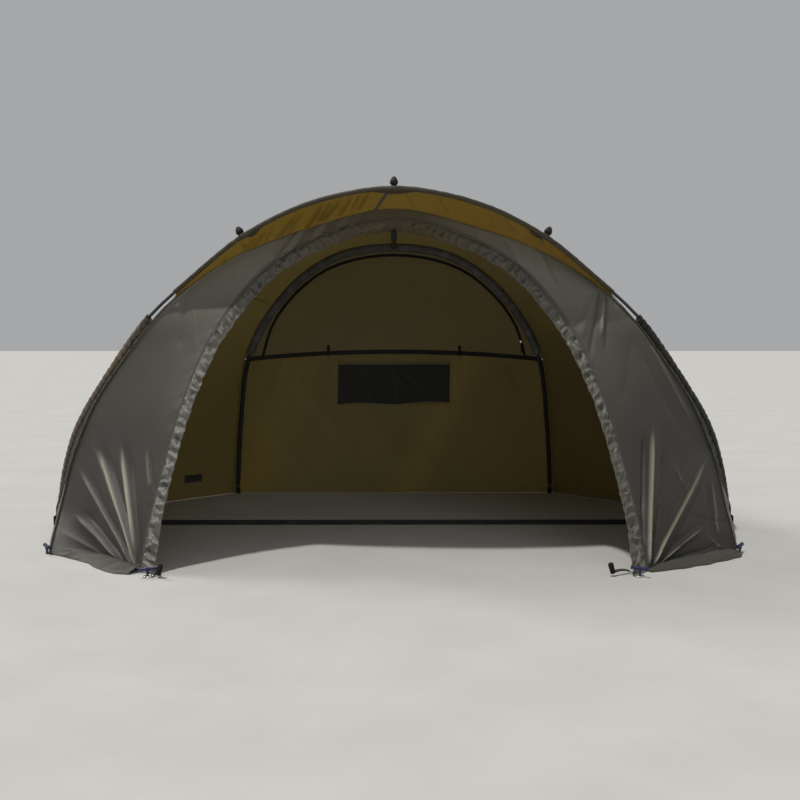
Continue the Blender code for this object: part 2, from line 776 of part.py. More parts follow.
def add_peg(name, place, bar_way, sign, finish):
    """A peg's part above the ground: a stub with a bar across it, placed as on the right side."""
    ground = Vector((sign * place[0], place[1], 0.0))
    bar_way = Vector((sign * bar_way.x, bar_way.y, 0.0)).normalized()
    made = turned(name, plain_post(PEG_RADIUS, PEG_BAR_HEIGHT), ground, UP, finish, sides=12)
    start = ground + UP * PEG_BAR_HEIGHT - bar_way * PEG_BAR_HALF_LENGTH
    length = 2 * PEG_BAR_HALF_LENGTH
    bar = [(0.0, 0.0), (0.8 * PEG_BAR_RADIUS, 0.0), (PEG_BAR_RADIUS, 0.004), (PEG_BAR_RADIUS, length - 0.004)]
    bar += [(0.8 * PEG_BAR_RADIUS, length), (0.0, length)]
    cutter = turned(f"{name}_bar_guide", bar, start, bar_way, finish, sides=12)
    cutter.hide_render = True
    cutter.display_type = "WIRE"
    union = made.modifiers.new("bar", "BOOLEAN")
    union.operation = "UNION"
    union.object = cutter


def add_front_pegging(rim_foot, peg_finish, steel, webbing):
    """At each front end of the rim: a tab, a steel ring and the peg that stands in the ring."""
    for side, sign in SIDES:
        place = Vector((sign * FRONT_PEG[0], FRONT_PEG[1], 0.0))
        end = Vector((sign * rim_foot.x, rim_foot.y, 0.0))
        way = (end - place).normalized()
        add_peg(f"{side}_front_peg", FRONT_PEG, FRONT_BAR_WAY, sign, peg_finish)
        ring = place + way * (RING_RADIUS - RING_WIRE - PEG_RADIUS - FIT_GAP)
        add_ring(f"{side}_peg_ring", ring + UP * (RING_WIRE + FIT_GAP), steel)
        start = ring + way * (RING_RADIUS + RING_WIRE + FIT_GAP)
        stop = end - way * (2 * FIT_GAP)
        add_tab(f"{side}_peg_tab", start, stop, webbing)


def add_ring(name, centre, finish, steps=20, sides=6):
    bm = bmesh.new()
    rings = []
    for i in range(steps):
        turn = math.tau * i / steps
        out = Vector((math.cos(turn), math.sin(turn), 0.0))
        ring = []
        for k in range(sides):
            angle = math.tau * k / sides
            radius = RING_RADIUS + RING_WIRE * math.cos(angle)
            ring.append(bm.verts.new(centre + out * radius + UP * (RING_WIRE * math.sin(angle))))
        rings.append(ring)
    for i in range(steps):
        this, following = rings[i], rings[(i + 1) % steps]
        for k in range(sides):
            n = (k + 1) % sides
            bm.faces.new((this[k], this[n], following[n], following[k]))
    add_bmesh(name, bm, finish)


def add_tab(name, start, stop, finish):
    side = UP.cross(stop - start).normalized() * (TAB_WIDTH / 2)
    up = UP * TAB_THICKNESS
    corners = [start - side, start + side, stop + side, stop - side]
    bm = bmesh.new()
    low = [bm.verts.new(p) for p in corners]
    high = [bm.verts.new(p + up) for p in corners]
    bm.faces.new(low)
    bm.faces.new(high)
    for k in range(4):
        n = (k + 1) % 4
        bm.faces.new((low[k], low[n], high[n], high[k]))
    add_bmesh(name, bm, finish)


def add_corner_pegs(finish):
    """Pegs that stand against the hem at the outer front corners and at the back corners."""
    reach = PEG_RADIUS + FIT_GAP
    corner = Vector(FOLD_LINE[-1][:2]) + CORNER_PEG_WAY * reach
    back = Vector((BACK_LINE[-1][0], WALL_FOOT_Y)) + BACK_PEG_WAY * reach
    for side, sign in SIDES:
        add_peg(f"{side}_corner_peg", corner, CORNER_BAR_WAY, sign, finish)
        add_peg(f"{side}_back_peg", back, BACK_BAR_WAY, sign, finish)


def add_patch(inner, finish):
    """A bare cloth patch low on the inside of the left wall, seated on the faceted panel."""
    tree = panel_tree("left_side_panel")
    grid = []
    for i in range(PATCH_STEPS + 1):
        row = []
        for j in range(PATCH_STEPS + 1):
            r = mix(*PATCH_ROWS, i / PATCH_STEPS)
            c = mix(*PATCH_COLUMNS, j / PATCH_STEPS)
            i0, j0 = SKIN_ROWS - math.ceil(r), math.floor(c)
            cell = inner[i0][j0 : j0 + 2], inner[i0 + 1][j0 : j0 + 2]
            ends = [mix(*pair, c - j0) for pair in cell]
            row.append(mix(*ends, math.ceil(r) - r))
        grid.append(row)
    way = inward(grid[PATCH_STEPS // 2][PATCH_STEPS // 2])
    gaps = [tree.ray_cast(point + way * PROBE, -way)[3] - PROBE for row in grid for point in row]
    lift = FIT_GAP - min(gaps)
    back = [[p + way * lift for p in row] for row in grid]
    sheet("wall_patch", [[p + way * PATCH_THICKNESS for p in row] for row in back], back, finish)


def main():
    for obj in list(bpy.data.objects):
        bpy.data.objects.remove(obj)
    middle = bpy.data.objects.new("shelter_middle", None)
    middle.location = (0.0, HUB_LINE_Y, 0.0)
    bpy.context.scene.collection.objects.link(middle)

    cloth = material("cloth", (0.115, 0.108, 0.082), 0.75)
    peak_cloth = material("peak_cloth", (0.16, 0.13, 0.05), 0.75)
    wall_cloth = material("wall_cloth", (0.075, 0.062, 0.025), 0.8)
    sleeve_cloth = material("sleeve_cloth", (0.10, 0.085, 0.055), 0.8)
    grey_cloth = material("grey_cloth", (0.035, 0.037, 0.037), 0.85)
    mesh_cloth = material("mesh_cloth", (0.012, 0.012, 0.011), 0.9)
    webbing = material("webbing", (0.010, 0.011, 0.011), 0.85)
    dark_metal = material("dark_metal", (0.04, 0.04, 0.042), 0.4, 1.0)
    steel = material("steel", (0.55, 0.55, 0.55), 0.3, 1.0)
    plastic = material("black_plastic", (0.015, 0.016, 0.018), 0.5)
    blue = material("blue_plastic", (0.018, 0.03, 0.11), 0.45)

    outer, inner = skin_grid()
    fold = [row[0] for row in outer]
    pole = front_pole_line()
    outline, ways = back_outline()
    front = front_grid(fold)

    add_skin(outer, inner, cloth)
    add_front(front, cloth, cloth)
    add_peak(fold, pole, peak_cloth, sleeve_cloth)
    add_leg_sleeves(pole, fold, sleeve_cloth)
    add_front_pole(pole, dark_metal, plastic)
    add_knobs(pole, fold, plastic)
    add_back_wall(outline, ways, wall_cloth, wall_cloth, mesh_cloth)
    add_back_trim(outline, ways, webbing, plastic, steel)
    back_pole_top = add_back_pole(outline, ways, dark_metal, grey_cloth, plastic)
    add_tension_bar(back_pole_top, dark_metal, plastic)
    add_ground_strap(webbing)
    add_front_pegging(front[-1][-1], blue, steel, webbing)
    add_corner_pegs(blue)
    add_patch(inner, webbing)


main()
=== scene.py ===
"""Fishing shelter: its cloth, trim, fittings and finishes, built round the CAD frame.

Like the solids, the layout has Y = 0 on the line between the pole hubs, and add_mesh moves it to the row's
frame. Cloth is a thin closed shell whose folds are real geometry.
"""

import math

import bpy
import numpy as np
from mathutils import Euler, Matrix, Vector, noise


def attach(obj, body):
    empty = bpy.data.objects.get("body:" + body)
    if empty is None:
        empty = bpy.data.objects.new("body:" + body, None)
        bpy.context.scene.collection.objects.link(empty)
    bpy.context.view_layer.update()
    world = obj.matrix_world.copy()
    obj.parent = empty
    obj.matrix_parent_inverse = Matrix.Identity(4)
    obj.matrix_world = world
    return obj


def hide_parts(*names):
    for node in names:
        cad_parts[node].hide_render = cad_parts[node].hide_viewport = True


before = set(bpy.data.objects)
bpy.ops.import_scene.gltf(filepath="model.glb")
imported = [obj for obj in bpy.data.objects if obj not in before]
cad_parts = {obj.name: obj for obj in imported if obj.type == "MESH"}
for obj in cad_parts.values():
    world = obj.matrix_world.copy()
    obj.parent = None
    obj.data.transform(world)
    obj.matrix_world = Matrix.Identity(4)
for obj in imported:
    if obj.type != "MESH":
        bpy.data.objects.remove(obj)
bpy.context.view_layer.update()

# From the row's origin to the line between the hubs
HUB_LINE = np.array((0.0, 0.0338, 0.0))

# Camera: a 50 mm lens in front of the middle, as high as a crouching person's eyes
CAMERA_PLACE = np.array((0.0, -4.76, 0.84))
CAMERA_PITCH = math.radians(-3.605)
CAMERA_YAW = math.radians(-0.309)
CAMERA_LENS = 50.0
SENSOR = 36.0
PHOTO = 800

# Main curves of the shelter, right half, from the ridge to the ground, as in the solids
FRONT_LEAN = 0.636
FRONT_POLE = (
    (0.0, 1.339), (0.176, 1.320), (0.355, 1.271), (0.557, 1.174), (0.735, 1.047), (0.944, 0.878),
    (1.164, 0.623), (1.290, 0.450), (1.372, 0.280), (1.430, 0.119), (1.452, 0.075),
)
# Steps of the solids along the pole and along the cloth, and those at which the hem and the sleeves end
POLE_STEPS = 28
CLOTH_STEPS = 29
HEM_STEPS = 12
SLEEVE_STEPS = (14, 27)
FOLD_LINE = (
    (0.0, -0.56, 1.295), (0.275, -0.56, 1.237), (0.620, -0.56, 1.104), (0.860, -0.55, 0.930),
    (1.056, -0.47, 0.710), (1.192, -0.38, 0.530), (1.282, -0.33, 0.340), (1.309, -0.43, 0.150),
    (1.300, -0.62, 0.0),
)
SIDE_LINE = (
    (0.0, -0.08, 1.370), (0.450, -0.08, 1.275), (0.780, -0.08, 1.095), (1.000, -0.08, 0.880),
    (1.215, -0.06, 0.600), (1.350, -0.03, 0.300), (1.425, 0.0, 0.0),
)
MIDDLE_LINE = (
    (0.0, 0.38, 1.335), (0.380, 0.39, 1.245), (0.690, 0.40, 1.065), (0.930, 0.42, 0.850),
    (1.085, 0.45, 0.600), (1.170, 0.49, 0.300), (1.190, 0.52, 0.0),
)
# Half the width of the back wall and of the opening at the ground
FOOT_HALF = 0.828
BACK_LINE = (
    (0.0, 1.278), (0.268, 1.240), (0.478, 1.118), (0.660, 0.905), (0.757, 0.700), (0.805, 0.350),
    (FOOT_HALF, 0.0),
)
RIM_EDGE = (
    (0.0, 1.212), (0.200, 1.172), (0.430, 1.055), (0.604, 0.847), (0.672, 0.720), (0.733, 0.550),
    (0.781, 0.350), (0.813, 0.175), (FOOT_HALF, 0.0),
)
ZIP_LINE = ((0.0, 1.220), (0.345, 1.143), (0.590, 0.910), (0.680, 0.660))
# Where the back wall and the opening stand on the ground, and how far they lean in for each metre up
WALL_FOOT_Y = 0.95
WALL_LEAN = 0.104
RIM_FOOT_Y = -0.98
RIM_LEAN = 0.375
# Width of the gathered rim at the ridge and at the ground
RIM_WIDTHS = (0.045, 0.066)
# The place inside that every cloth's inner face looks to
FOCUS = np.array((0.0, 0.02, 0.30))
UP = np.array((0.0, 0.0, 1.0))
# Thickness of the cloth here and in the solids, and the height over the floor that it keeps
CLOTH = 0.0014
CAD_CLOTH = 0.004
CLOTH_FLOOR = 0.0006
FLOOR_GAP = 0.0004
# Radius of a peg, of a ring and of its wire, and the gap that pieces keep
PEG_RADIUS = 0.0045
RING_RADIUS = 0.017
WIRE_RADIUS = 0.0022
PLAY = 0.0003
# Radius of the front pole's sleeves inside, and how deep the back pole stands behind the wall's outer plane
FRONT_BORE = 0.0072
BACK_POLE_DEPTH = 0.0163
FRONT_PEG = (0.838, -1.024)
# Level way out of the right wing at the ground
WING_OUT = np.array((0.606, -0.795, 0.0))
# How far the wings' foot and the hem on the ground lie out of the straight line between the pegs, in metres,
# at shares of the way from the corner to the opening
FOOT_BOW = {
    "left": ((0.0, 0.15, 0.37, 0.68, 0.85, 1.0), (0.0, -0.030, -0.058, -0.044, -0.014, 0.0)),
    "right": ((0.0, 0.20, 0.50, 0.80, 1.0), (0.0, -0.008, -0.016, -0.011, 0.0)),
}
HEM_REACH = {
    "left": ((0.0, 0.29, 0.50, 0.72, 0.93, 1.0), (0.004, 0.010, 0.025, 0.066, 0.080, 0.050)),
    "right": ((0.0, 0.06, 0.36, 0.65, 0.91, 1.0), (0.012, 0.056, 0.062, 0.058, 0.034, 0.020)),
}

# Window, hinge and toggles, in the back wall's plane
WINDOW_X = 0.275
WINDOW_LOW = 0.482
WINDOW_HIGH = 0.672
HINGE_MIDDLE = 0.735
HINGE_DROP = 0.037
HINGE_SPAN = 0.731
TOGGLE_X = 0.331
# Heights between which the back pole's legs have their dark sleeve
LEG_SLEEVE_SPAN = (0.05, 0.712)

SIDES = (("left", -1.0), ("right", 1.0))
# From one gather of the rim to the next, and how far they lean
RIM_PITCH = 0.029
RIM_SLANT = 0.55
# From one slanted pleat of a pole sleeve to the next
SLEEVE_WRAP = 0.068

# Fineness of the cloth: rows from the ridge to one foot
SKIN_ROWS = 170
SKIN_COLUMNS = 56
FRONT_ROWS = 300
FRONT_COLUMNS = 150
# Shares of the way from the ridge to the ground where the wings start, and where the front's rows get finer
HEADER_SHARE = HEM_STEPS / CLOTH_STEPS
FOOT_SHARE = 0.965
RIM_ROWS = 640
RIM_COLUMNS = 14
PEAK_ROWS = 240
PEAK_COLUMNS = 28


# Curves and surfaces


def mix(first, second, share):
    return first + (second - first) * share


def smooth_step(value, low, high):
    share = np.clip((value - low) / (high - low), 0.0, 1.0)
    return share * share * (3.0 - 2.0 * share)


def unit(ways):
    return ways / np.maximum(np.linalg.norm(ways, axis=-1, keepdims=True), 1e-9)


def mirrored(points):
    return points * (-1.0, 1.0, 1.0)


def curve_span(p0, p1, p2, p3, steps):
    """Centripetal Catmull-Rom points from p1 up to p2, for many curves at once."""
    knots = [np.zeros(len(p0))]
    for a, b in ((p0, p1), (p1, p2), (p2, p3)):
        knots.append(knots[-1] + np.sqrt(np.linalg.norm(b - a, axis=1)))
    t0, t1, t2, t3 = (k[:, None, None] for k in knots)
    p0, p1, p2, p3 = (p[:, None, :] for p in (p0, p1, p2, p3))
    t = mix(t1, t2, np.arange(steps)[None, :, None] / steps)
    a1 = mix(p0, p1, (t - t0) / (t1 - t0))
    a2 = mix(p1, p2, (t - t1) / (t2 - t1))
    a3 = mix(p2, p3, (t - t2) / (t3 - t2))
    b1 = mix(a1, a2, (t - t0) / (t2 - t0))
    b2 = mix(a2, a3, (t - t1) / (t3 - t1))
    return mix(b1, b2, (t - t1) / (t2 - t1))


def spaced(line, shares):
    """Points at shares of the way along a polyline."""
    steps = np.linalg.norm(np.diff(line, axis=0), axis=1)
    lengths = np.concatenate(([0.0], np.cumsum(steps)))
    wanted = np.asarray(shares) * lengths[-1]
    return np.stack([np.interp(wanted, lengths, line[:, k]) for k in range(line.shape[1])], axis=1)


def smooth_lines(controls, shares, from_ridge=False):
    """Many smooth curves at once: controls is a list of arrays, one for each point that the curves pass."""
    before = mirrored(controls[1]) if from_ridge else controls[0] * 2 - controls[1]
    after = controls[-1] * 2 - controls[-2]
    padded = [before, *controls, after]
    spans = [curve_span(*padded[i : i + 4], 48) for i in range(len(controls) - 1)]
    dense = np.concatenate([*spans, controls[-1][:, None, :]], axis=1)
    return np.stack([spaced(line, shares) for line in dense])


def smooth_line(points, shares):
    """A smooth curve through points from the ridge to one foot."""
    controls = [np.array([p], float) for p in points]
    return smooth_lines(controls, shares, True)[0]


def whole(half):
    """A right half from the ridge, made into the line from the left foot to the right foot."""
    return np.concatenate((mirrored(half[:0:-1]), half))


def half_shares(rows):
    return np.linspace(0.0, 1.0, rows + 1)


def arch_through(points, shares):
    """An arch from the left foot to the right foot, through the points of its right half."""
    return whole(smooth_line(points, shares))


WALL_UP = unit(np.array((0.0, -WALL_LEAN, 1.0)))
WALL_IN = unit(np.array((0.0, -1.0, -WALL_LEAN)))


def on_wall(flat, depth=0.0):
    """Points of (x, height) on the back wall's outer plane, or at a depth from it into the shelter."""
    flat = np.asarray(flat, float)
    x = flat[..., 0]
    foot = np.stack((x, np.full_like(x, WALL_FOOT_Y), np.zeros_like(x)), axis=-1)
    return foot + flat[..., 1:2] * WALL_UP + np.asarray(depth)[..., None] * WALL_IN


def back_outline(rows):
    return arch_through([(x, height, 0.0) for x, height in BACK_LINE], half_shares(rows))


def hinge_height(x):
    return HINGE_MIDDLE - HINGE_DROP * (x / HINGE_SPAN) ** 2


def inward(points):
    """The way into the shelter from each point, level with itself near the ground."""
    target = np.broadcast_to(FOCUS, points.shape).copy()
    target[..., 2] = np.minimum(points[..., 2], FOCUS[2])
    return unit(target - points)


def fold_line(rows):
    return arch_through(FOLD_LINE, half_shares(rows))


def skin_surface(rows, columns):
    """The roof and both sides: rows from foot to foot, columns from the fold to the back wall."""
    lines = [arch_through(line, half_shares(rows)) for line in (FOLD_LINE, SIDE_LINE, MIDDLE_LINE)]
    return smooth_lines([*lines, on_wall(back_outline(rows))], np.linspace(0.0, 1.0, columns + 1))


def foot_shares(rows):
    """Shares from the ridge to the ground, finer near the ground."""
    coarse = rows * 5 // 6
    upper = np.linspace(0.0, FOOT_SHARE, coarse + 1)
    return np.concatenate((upper, np.linspace(FOOT_SHARE, 1.0, rows - coarse + 1)[1:]))


def front_edges(shares):
    """The front panel's start under the fold, its stitch line and the opening's edge."""
    fold = arch_through(FOLD_LINE, shares)
    rim = arch_through([(x, RIM_FOOT_Y + RIM_LEAN * z, z) for x, z in RIM_EDGE], shares)
    start = fold + inward(fold) * (CAD_CLOTH + PLAY)
    down = np.concatenate((shares[:0:-1], shares))
    widths = mix(*RIM_WIDTHS, smooth_step(down, 0.45, 1.0))
    stitch = rim + unit(start - rim) * widths[:, None]
    return start, stitch, rim


def pole_line(shares):
    """The right half of the front pole."""
    foot = FRONT_POLE[-1][1]
    return smooth_line([(x, -FRONT_LEAN * (z - foot), z) for x, z in FRONT_POLE], shares)


# The photograph's frame, for folds that are placed where it shows them

PIXELS_A_UNIT = CAMERA_LENS / SENSOR * PHOTO
CAMERA_TURN = Euler((math.pi / 2 + CAMERA_PITCH, 0.0, CAMERA_YAW), "XYZ")


def photo_places(points):
    """Where points show in the photograph's frame, in pixels from its top left corner."""
    seen = (points - CAMERA_PLACE) @ np.array(CAMERA_TURN.to_matrix())
    return (
        PHOTO / 2 + PIXELS_A_UNIT * seen[..., 0] / -seen[..., 2],
        PHOTO / 2 - PIXELS_A_UNIT * seen[..., 1] / -seen[..., 2],
    )


def crest(aside, steep=1.0):
    """The profile of a fold: 1 at its sharp top, 0.24 at one width from it, steeper on its right by steep."""
    bent = np.where(aside > 0, aside * steep, aside)
    return np.exp(-1.6 * (np.sqrt(bent**2 + 0.01) - 0.1))


def along_stroke(across, down, start, end):
    """Shares of the way along a straight stroke, and distances aside from it."""
    way = np.array((end[0] - start[0], end[1] - start[1]), float)
    size = np.linalg.norm(way)
    across, down = across - start[0], down - start[1]
    return (across * way[0] + down * way[1]) / size**2, (across * way[1] - down * way[0]) / size


def folds(points, strokes, steep=1.0):
    """Height of folds drawn as strokes in the photograph's frame.

    A stroke is x, y at its start and at its end, its widths there and its height. A ridge is steeper on its
    right by steep, as the cloth lies over to that side.
    """
    across, down = photo_places(points)
    total = np.zeros(across.shape)
    for x0, y0, x1, y1, start_width, end_width, height in strokes:
        along, aside = along_stroke(across, down, (x0, y0), (x1, y1))
        width = mix(start_width, end_width, np.clip(along, 0.0, 1.0))
        fade = smooth_step(along, -0.12, 0.22) * (1.0 - smooth_step(along, 0.85, 1.12))
        total += height * crest(aside / width, steep if height > 0 else 1.0) * fade
    return total


def soft_curve(share, places, values):
    """Values between given places, with rounded corners."""
    steps = (-0.05, -0.025, 0.0, 0.025, 0.05)
    near = [np.interp(np.clip(share + step, 0.0, 1.0), places, values) for step in steps]
    return sum(near) / len(near)


def grid_at(grid, rows, columns):
    """Points of a grid at fractional rows and columns."""
    rows, columns = np.broadcast_arrays(np.asarray(rows, float), np.asarray(columns, float))
    i = np.clip(rows.astype(int), 0, len(grid) - 2)
    j = np.clip(columns.astype(int), 0, grid.shape[1] - 2)
    u, v = (rows - i)[..., None], (columns - j)[..., None]
    return mix(mix(grid[i, j], grid[i + 1, j], u), mix(grid[i, j + 1], grid[i + 1, j + 1], u), v)


def noise_at(points, size, seed=0.0):
    """Smooth noise from -1 to 1 whose lumps are about size across, which may differ by axis."""
    flat = (points / size).reshape(-1, points.shape[-1]) + seed
    if flat.shape[1] == 2:
        flat = np.column_stack((flat, np.full(len(flat), seed)))
    return np.array([noise.noise(Vector(p)) for p in flat]).reshape(points.shape[:-1])


def ripples(first, second, seed):
    """The same noise over two distances that are already counted in lumps."""
    return noise_at(np.stack(np.broadcast_arrays(first, second), axis=-1), 1.0, seed)


def ring_noise(along, radius, sides, seed):
    """The same noise on a sleeve's rings: along and radius are counted in lumps."""
    angles = np.linspace(0.0, math.tau, sides, endpoint=False)
    ways = np.cos(angles)[None] * radius, np.sin(angles)[None] * radius
    return noise_at(np.stack(np.broadcast_arrays(along, *ways), axis=-1), 1.0, seed)


# Meshes


def distances(grid, axis):
    """Metres from the grid's start along its columns, for axis 0, or along its rows."""
    steps = np.linalg.norm(np.diff(grid, axis=axis), axis=-1)
    return np.insert(np.cumsum(steps, axis=axis), 0, 0.0, axis=axis)


def metres_of(grid):
    """The UV map of a grid, in metres both ways."""
    return np.stack((distances(grid, 0), distances(grid, 1)), axis=-1)


def surface_normals(grid):
    """Unit normals that point out of the shelter, and whether the grid's own ones point into it."""
    normals = unit(np.cross(np.gradient(grid, axis=0), np.gradient(grid, axis=1)))
    inside = float(np.sum(normals * -inward(grid))) < 0
    return (-normals if inside else normals), inside


def looks_away(grid, way):
    """Whether a grid's faces look away from that way, so that they need turning."""
    normal = np.cross(grid[1, 0] - grid[0, 0], grid[0, 1] - grid[0, 0])
    return float(np.dot(normal, way)) < 0


def grid_quads(rows, columns, loop=False):
    """Faces between a grid's points, as the points' numbers. loop joins the last column to the first."""
    index = np.arange(rows * columns).reshape(rows, columns)
    if loop:
        index = np.column_stack((index, index[:, 0]))
    corners = (index[:-1, :-1], index[1:, :-1], index[1:, 1:], index[:-1, 1:])
    return np.stack(corners, axis=-1).reshape(-1, 4)


def add_mesh(name, points, faces, finishes, places=None, uvs=None, relief=None, sharp=50.0):
    mesh = bpy.data.meshes.new(name)
    placed = points + HUB_LINE
    placed[:, 2] = np.maximum(placed[:, 2], FLOOR_GAP)
    mesh.from_pydata(placed.tolist(), [], faces)
    for finish in finishes:
        mesh.materials.append(finish)
    if places is not None:
        mesh.polygons.foreach_set("material_index", np.asarray(places, np.int32))
    if uvs is not None:
        corners = np.zeros(len(mesh.loops), np.int32)
        mesh.loops.foreach_get("vertex_index", corners)
        layer = mesh.uv_layers.new(name="metres")
        layer.data.foreach_set("uv", uvs[corners].astype(np.float32).ravel())
    if relief is not None:
        made = mesh.attributes.new("relief", "FLOAT", "POINT")
        made.data.foreach_set("value", relief.astype(np.float32))
    mesh.validate()
    mesh.shade_smooth()
    mesh.set_sharp_from_angle(angle=math.radians(sharp))
    made = bpy.data.objects.new(name, mesh)
    bpy.context.scene.collection.objects.link(made)
    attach(made, "root")
    return made


def shell(name, outer, inner, finishes, flip=False, mask=None, uvs=None, relief=None, loop=False):
    """A closed cloth between two grids: finishes are those of the outer face and the inner face."""
    below = outer.shape[0] * outer.shape[1]
    quads = grid_quads(*outer.shape[:2], loop)
    if mask is not None:
        quads = quads[mask.reshape(-1)]
    if flip:
        quads = quads[:, ::-1]
    sides = np.concatenate([quads[:, [k, (k + 1) % 4]] for k in range(4)])
    keys = sides[:, 0] * below + sides[:, 1]
    back_keys = sides[:, 1] * below + sides[:, 0]
    first, second = sides[~np.isin(keys, back_keys)].T
    walls = np.stack((second, first, first + below, second + below), axis=-1)
    faces = np.concatenate((quads, quads[:, ::-1] + below, walls))
    places = np.repeat((0, 1, 0), (len(quads), len(quads), len(walls)))
    points = np.concatenate((outer.reshape(-1, 3), inner.reshape(-1, 3)))
    used, fresh = np.unique(faces, return_inverse=True)
    uvs = metres_of(outer) if uvs is None else uvs
    uvs = np.tile(uvs.reshape(-1, 2), (2, 1))[used]
    if relief is not None:
        relief = np.tile(relief.reshape(-1), 2)[used]
    return add_mesh(name, points[used], fresh.reshape(faces.shape).tolist(), finishes, places, uvs, relief)


def faces_of(grid, raised, thickness=CLOTH):
    """A cloth's outer face, the grid pushed out by raised, its inner face, and whether to turn them."""
    normals, flip = surface_normals(grid)
    outer = grid + normals * raised[..., None]
    outer[..., 2] = np.maximum(outer[..., 2], CLOTH_FLOOR)
    inner = outer - surface_normals(outer)[0] * thickness
    inner[..., 2] = np.maximum(inner[..., 2], CLOTH_FLOOR)
    return outer, inner, flip


def cloth(name, grid, raised, finishes, thickness=CLOTH):
    """A shell whose outer face is the grid pushed out by raised."""
    outer, inner, flip = faces_of(grid, raised, thickness)
    return shell(name, outer, inner, finishes, flip, relief=raised - raised.mean()), outer


def declare(piece, grid, held, *rests_on):
    """Works out a cloth's length and width, its grid's longest column and row, and does nothing with them.

    A crescent that fills little of that rectangle is as wide as its mean width instead.
    """
    width, length = (float(distances(grid, axis).max()) for axis in (1, 0))
    area = sum(face.area for face in piece.data.polygons) / 2
    if area < 0.35 * width * length:
        width = area / length


def ribbon(name, line, ups, width, thickness, finish, crown=0.0, steps=4):
    """A flat band along a line: ups are the ways its face looks, crown is how far its middle stands up."""
    line, ups = np.asarray(line, float), unit(np.broadcast_to(ups, np.shape(line)))
    sides = unit(np.cross(unit(np.gradient(line, axis=0)), ups))
    shares = np.linspace(-0.5, 0.5, steps + 1)
    rise = crown * (1.0 - (2.0 * shares) ** 2)
    top = line[:, None] + sides[:, None] * (shares * width)[None, :, None]
    top = top + ups[:, None] * (thickness + rise)[None, :, None]
    under = top - ups[:, None] * thickness
    uvs = np.stack(np.broadcast_arrays(distances(line[:, None], 0), shares[None] * width), axis=-1)
    return shell(name, top, under, (finish, finish), looks_away(top, ups[0]), uvs=uvs)


def rings(name, centres, across, out, radii_a, radii_b, finish, sides=16, bore=None, relief=None):
    """A closed tube through rings, each of them centre + across * a * cos + out * b * sin.

    bore, as (middle line, radius), makes it hollow.
    """
    angles = np.linspace(0.0, math.tau, sides, endpoint=False)
    cosine, sine = np.cos(angles), np.sin(angles)
    outer = (
        centres[:, None]
        + across[:, None] * (radii_a * cosine)[..., None]
        + out[:, None] * (radii_b * sine)[..., None]
    )
    uvs = np.stack(np.broadcast_arrays(distances(centres[:, None], 0), angles * 0.02), axis=-1)
    flip = looks_away(outer, outer[0, 0] - centres[0])
    if bore is None:
        return capped(name, outer, finish, flip, uvs)
    middle, radius = bore
    ring = across[:, None] * cosine[None, :, None] + out[:, None] * sine[None, :, None]
    inner = middle[:, None] + ring * radius
    return shell(name, outer, inner, (finish, finish), flip, uvs=uvs, relief=relief, loop=True)


def capped(name, rows, finish, flip, uvs=None):
    """A solid skin over closed rings of points, with one face at each end."""
    count, sides = rows.shape[:2]
    end = np.arange(sides)
    faces = [*grid_quads(count, sides, True), end, end[::-1] + (count - 1) * sides]
    turned = [(face[::-1] if flip else face).tolist() for face in faces]
    flat = None if uvs is None else uvs.reshape(-1, 2)
    return add_mesh(name, rows.reshape(-1, 3), turned, (finish,), uvs=flat, sharp=40.0)


def frames_along(line, towards):
    """Unit ways across a line: the first one leans towards the given ways."""
    along = unit(np.gradient(line, axis=0))
    towards = np.broadcast_to(towards, line.shape)
    across = unit(towards - along * np.sum(towards * along, axis=1, keepdims=True))
    return across, np.cross(along, across)


def tube(name, line, radius, finish, ribs=None):
    """A round solid along a line; ribs is (pitch, depth) of the rings pressed into it."""
    line = np.asarray(line, float)
    across, out = frames_along(line, (0.31, 0.74, 0.59))
    radii = np.full((len(line), 1), radius)
    if ribs:
        pitch, depth = ribs
        radii = radii - depth * (0.5 + 0.5 * np.cos(distances(line[:, None], 0) * math.tau / pitch))
    return rings(name, line, across, out, radii, radii, finish, 8)


def lathe(name, profile, foot, up, finish):
    """A turned piece from its profile of (radius, height)."""
    up = unit(np.asarray(up, float))
    across = unit(np.cross(up, (0.37, 0.61, 0.70)))
    radii, heights = np.array(profile, float).T[..., None]
    ways = np.ones((len(profile), 1))
    across, out = across * ways, np.cross(up, across) * ways
    return rings(name, np.asarray(foot, float) + up * heights, across, out, radii, radii, finish, 20)


def box_piece(name, centre, ways, size, finish, bevel):
    """A block with rounded edges: ways are its three unit axes."""
    half = np.asarray(size) / 2
    rim = ((1, -0.7), (1, 0.7), (0.7, 1), (-0.7, 1), (-1, 0.7), (-1, -0.7), (-0.7, -1), (0.7, -1))
    corners = []
    for level, inset in ((-1.0, 1.0 - bevel), (-1.0 + bevel, 1.0), (1.0 - bevel, 1.0), (1.0, 1.0 - bevel)):
        ring = [np.array((x * half[0] * inset, y * half[1] * inset, level * half[2])) for x, y in rim]
        corners.append([centre + place @ np.array(ways) for place in ring])
    corners = np.array(corners)
    return capped(name, corners, finish, looks_away(corners, corners[0, 0] - corners[0].mean(axis=0)))


# Materials


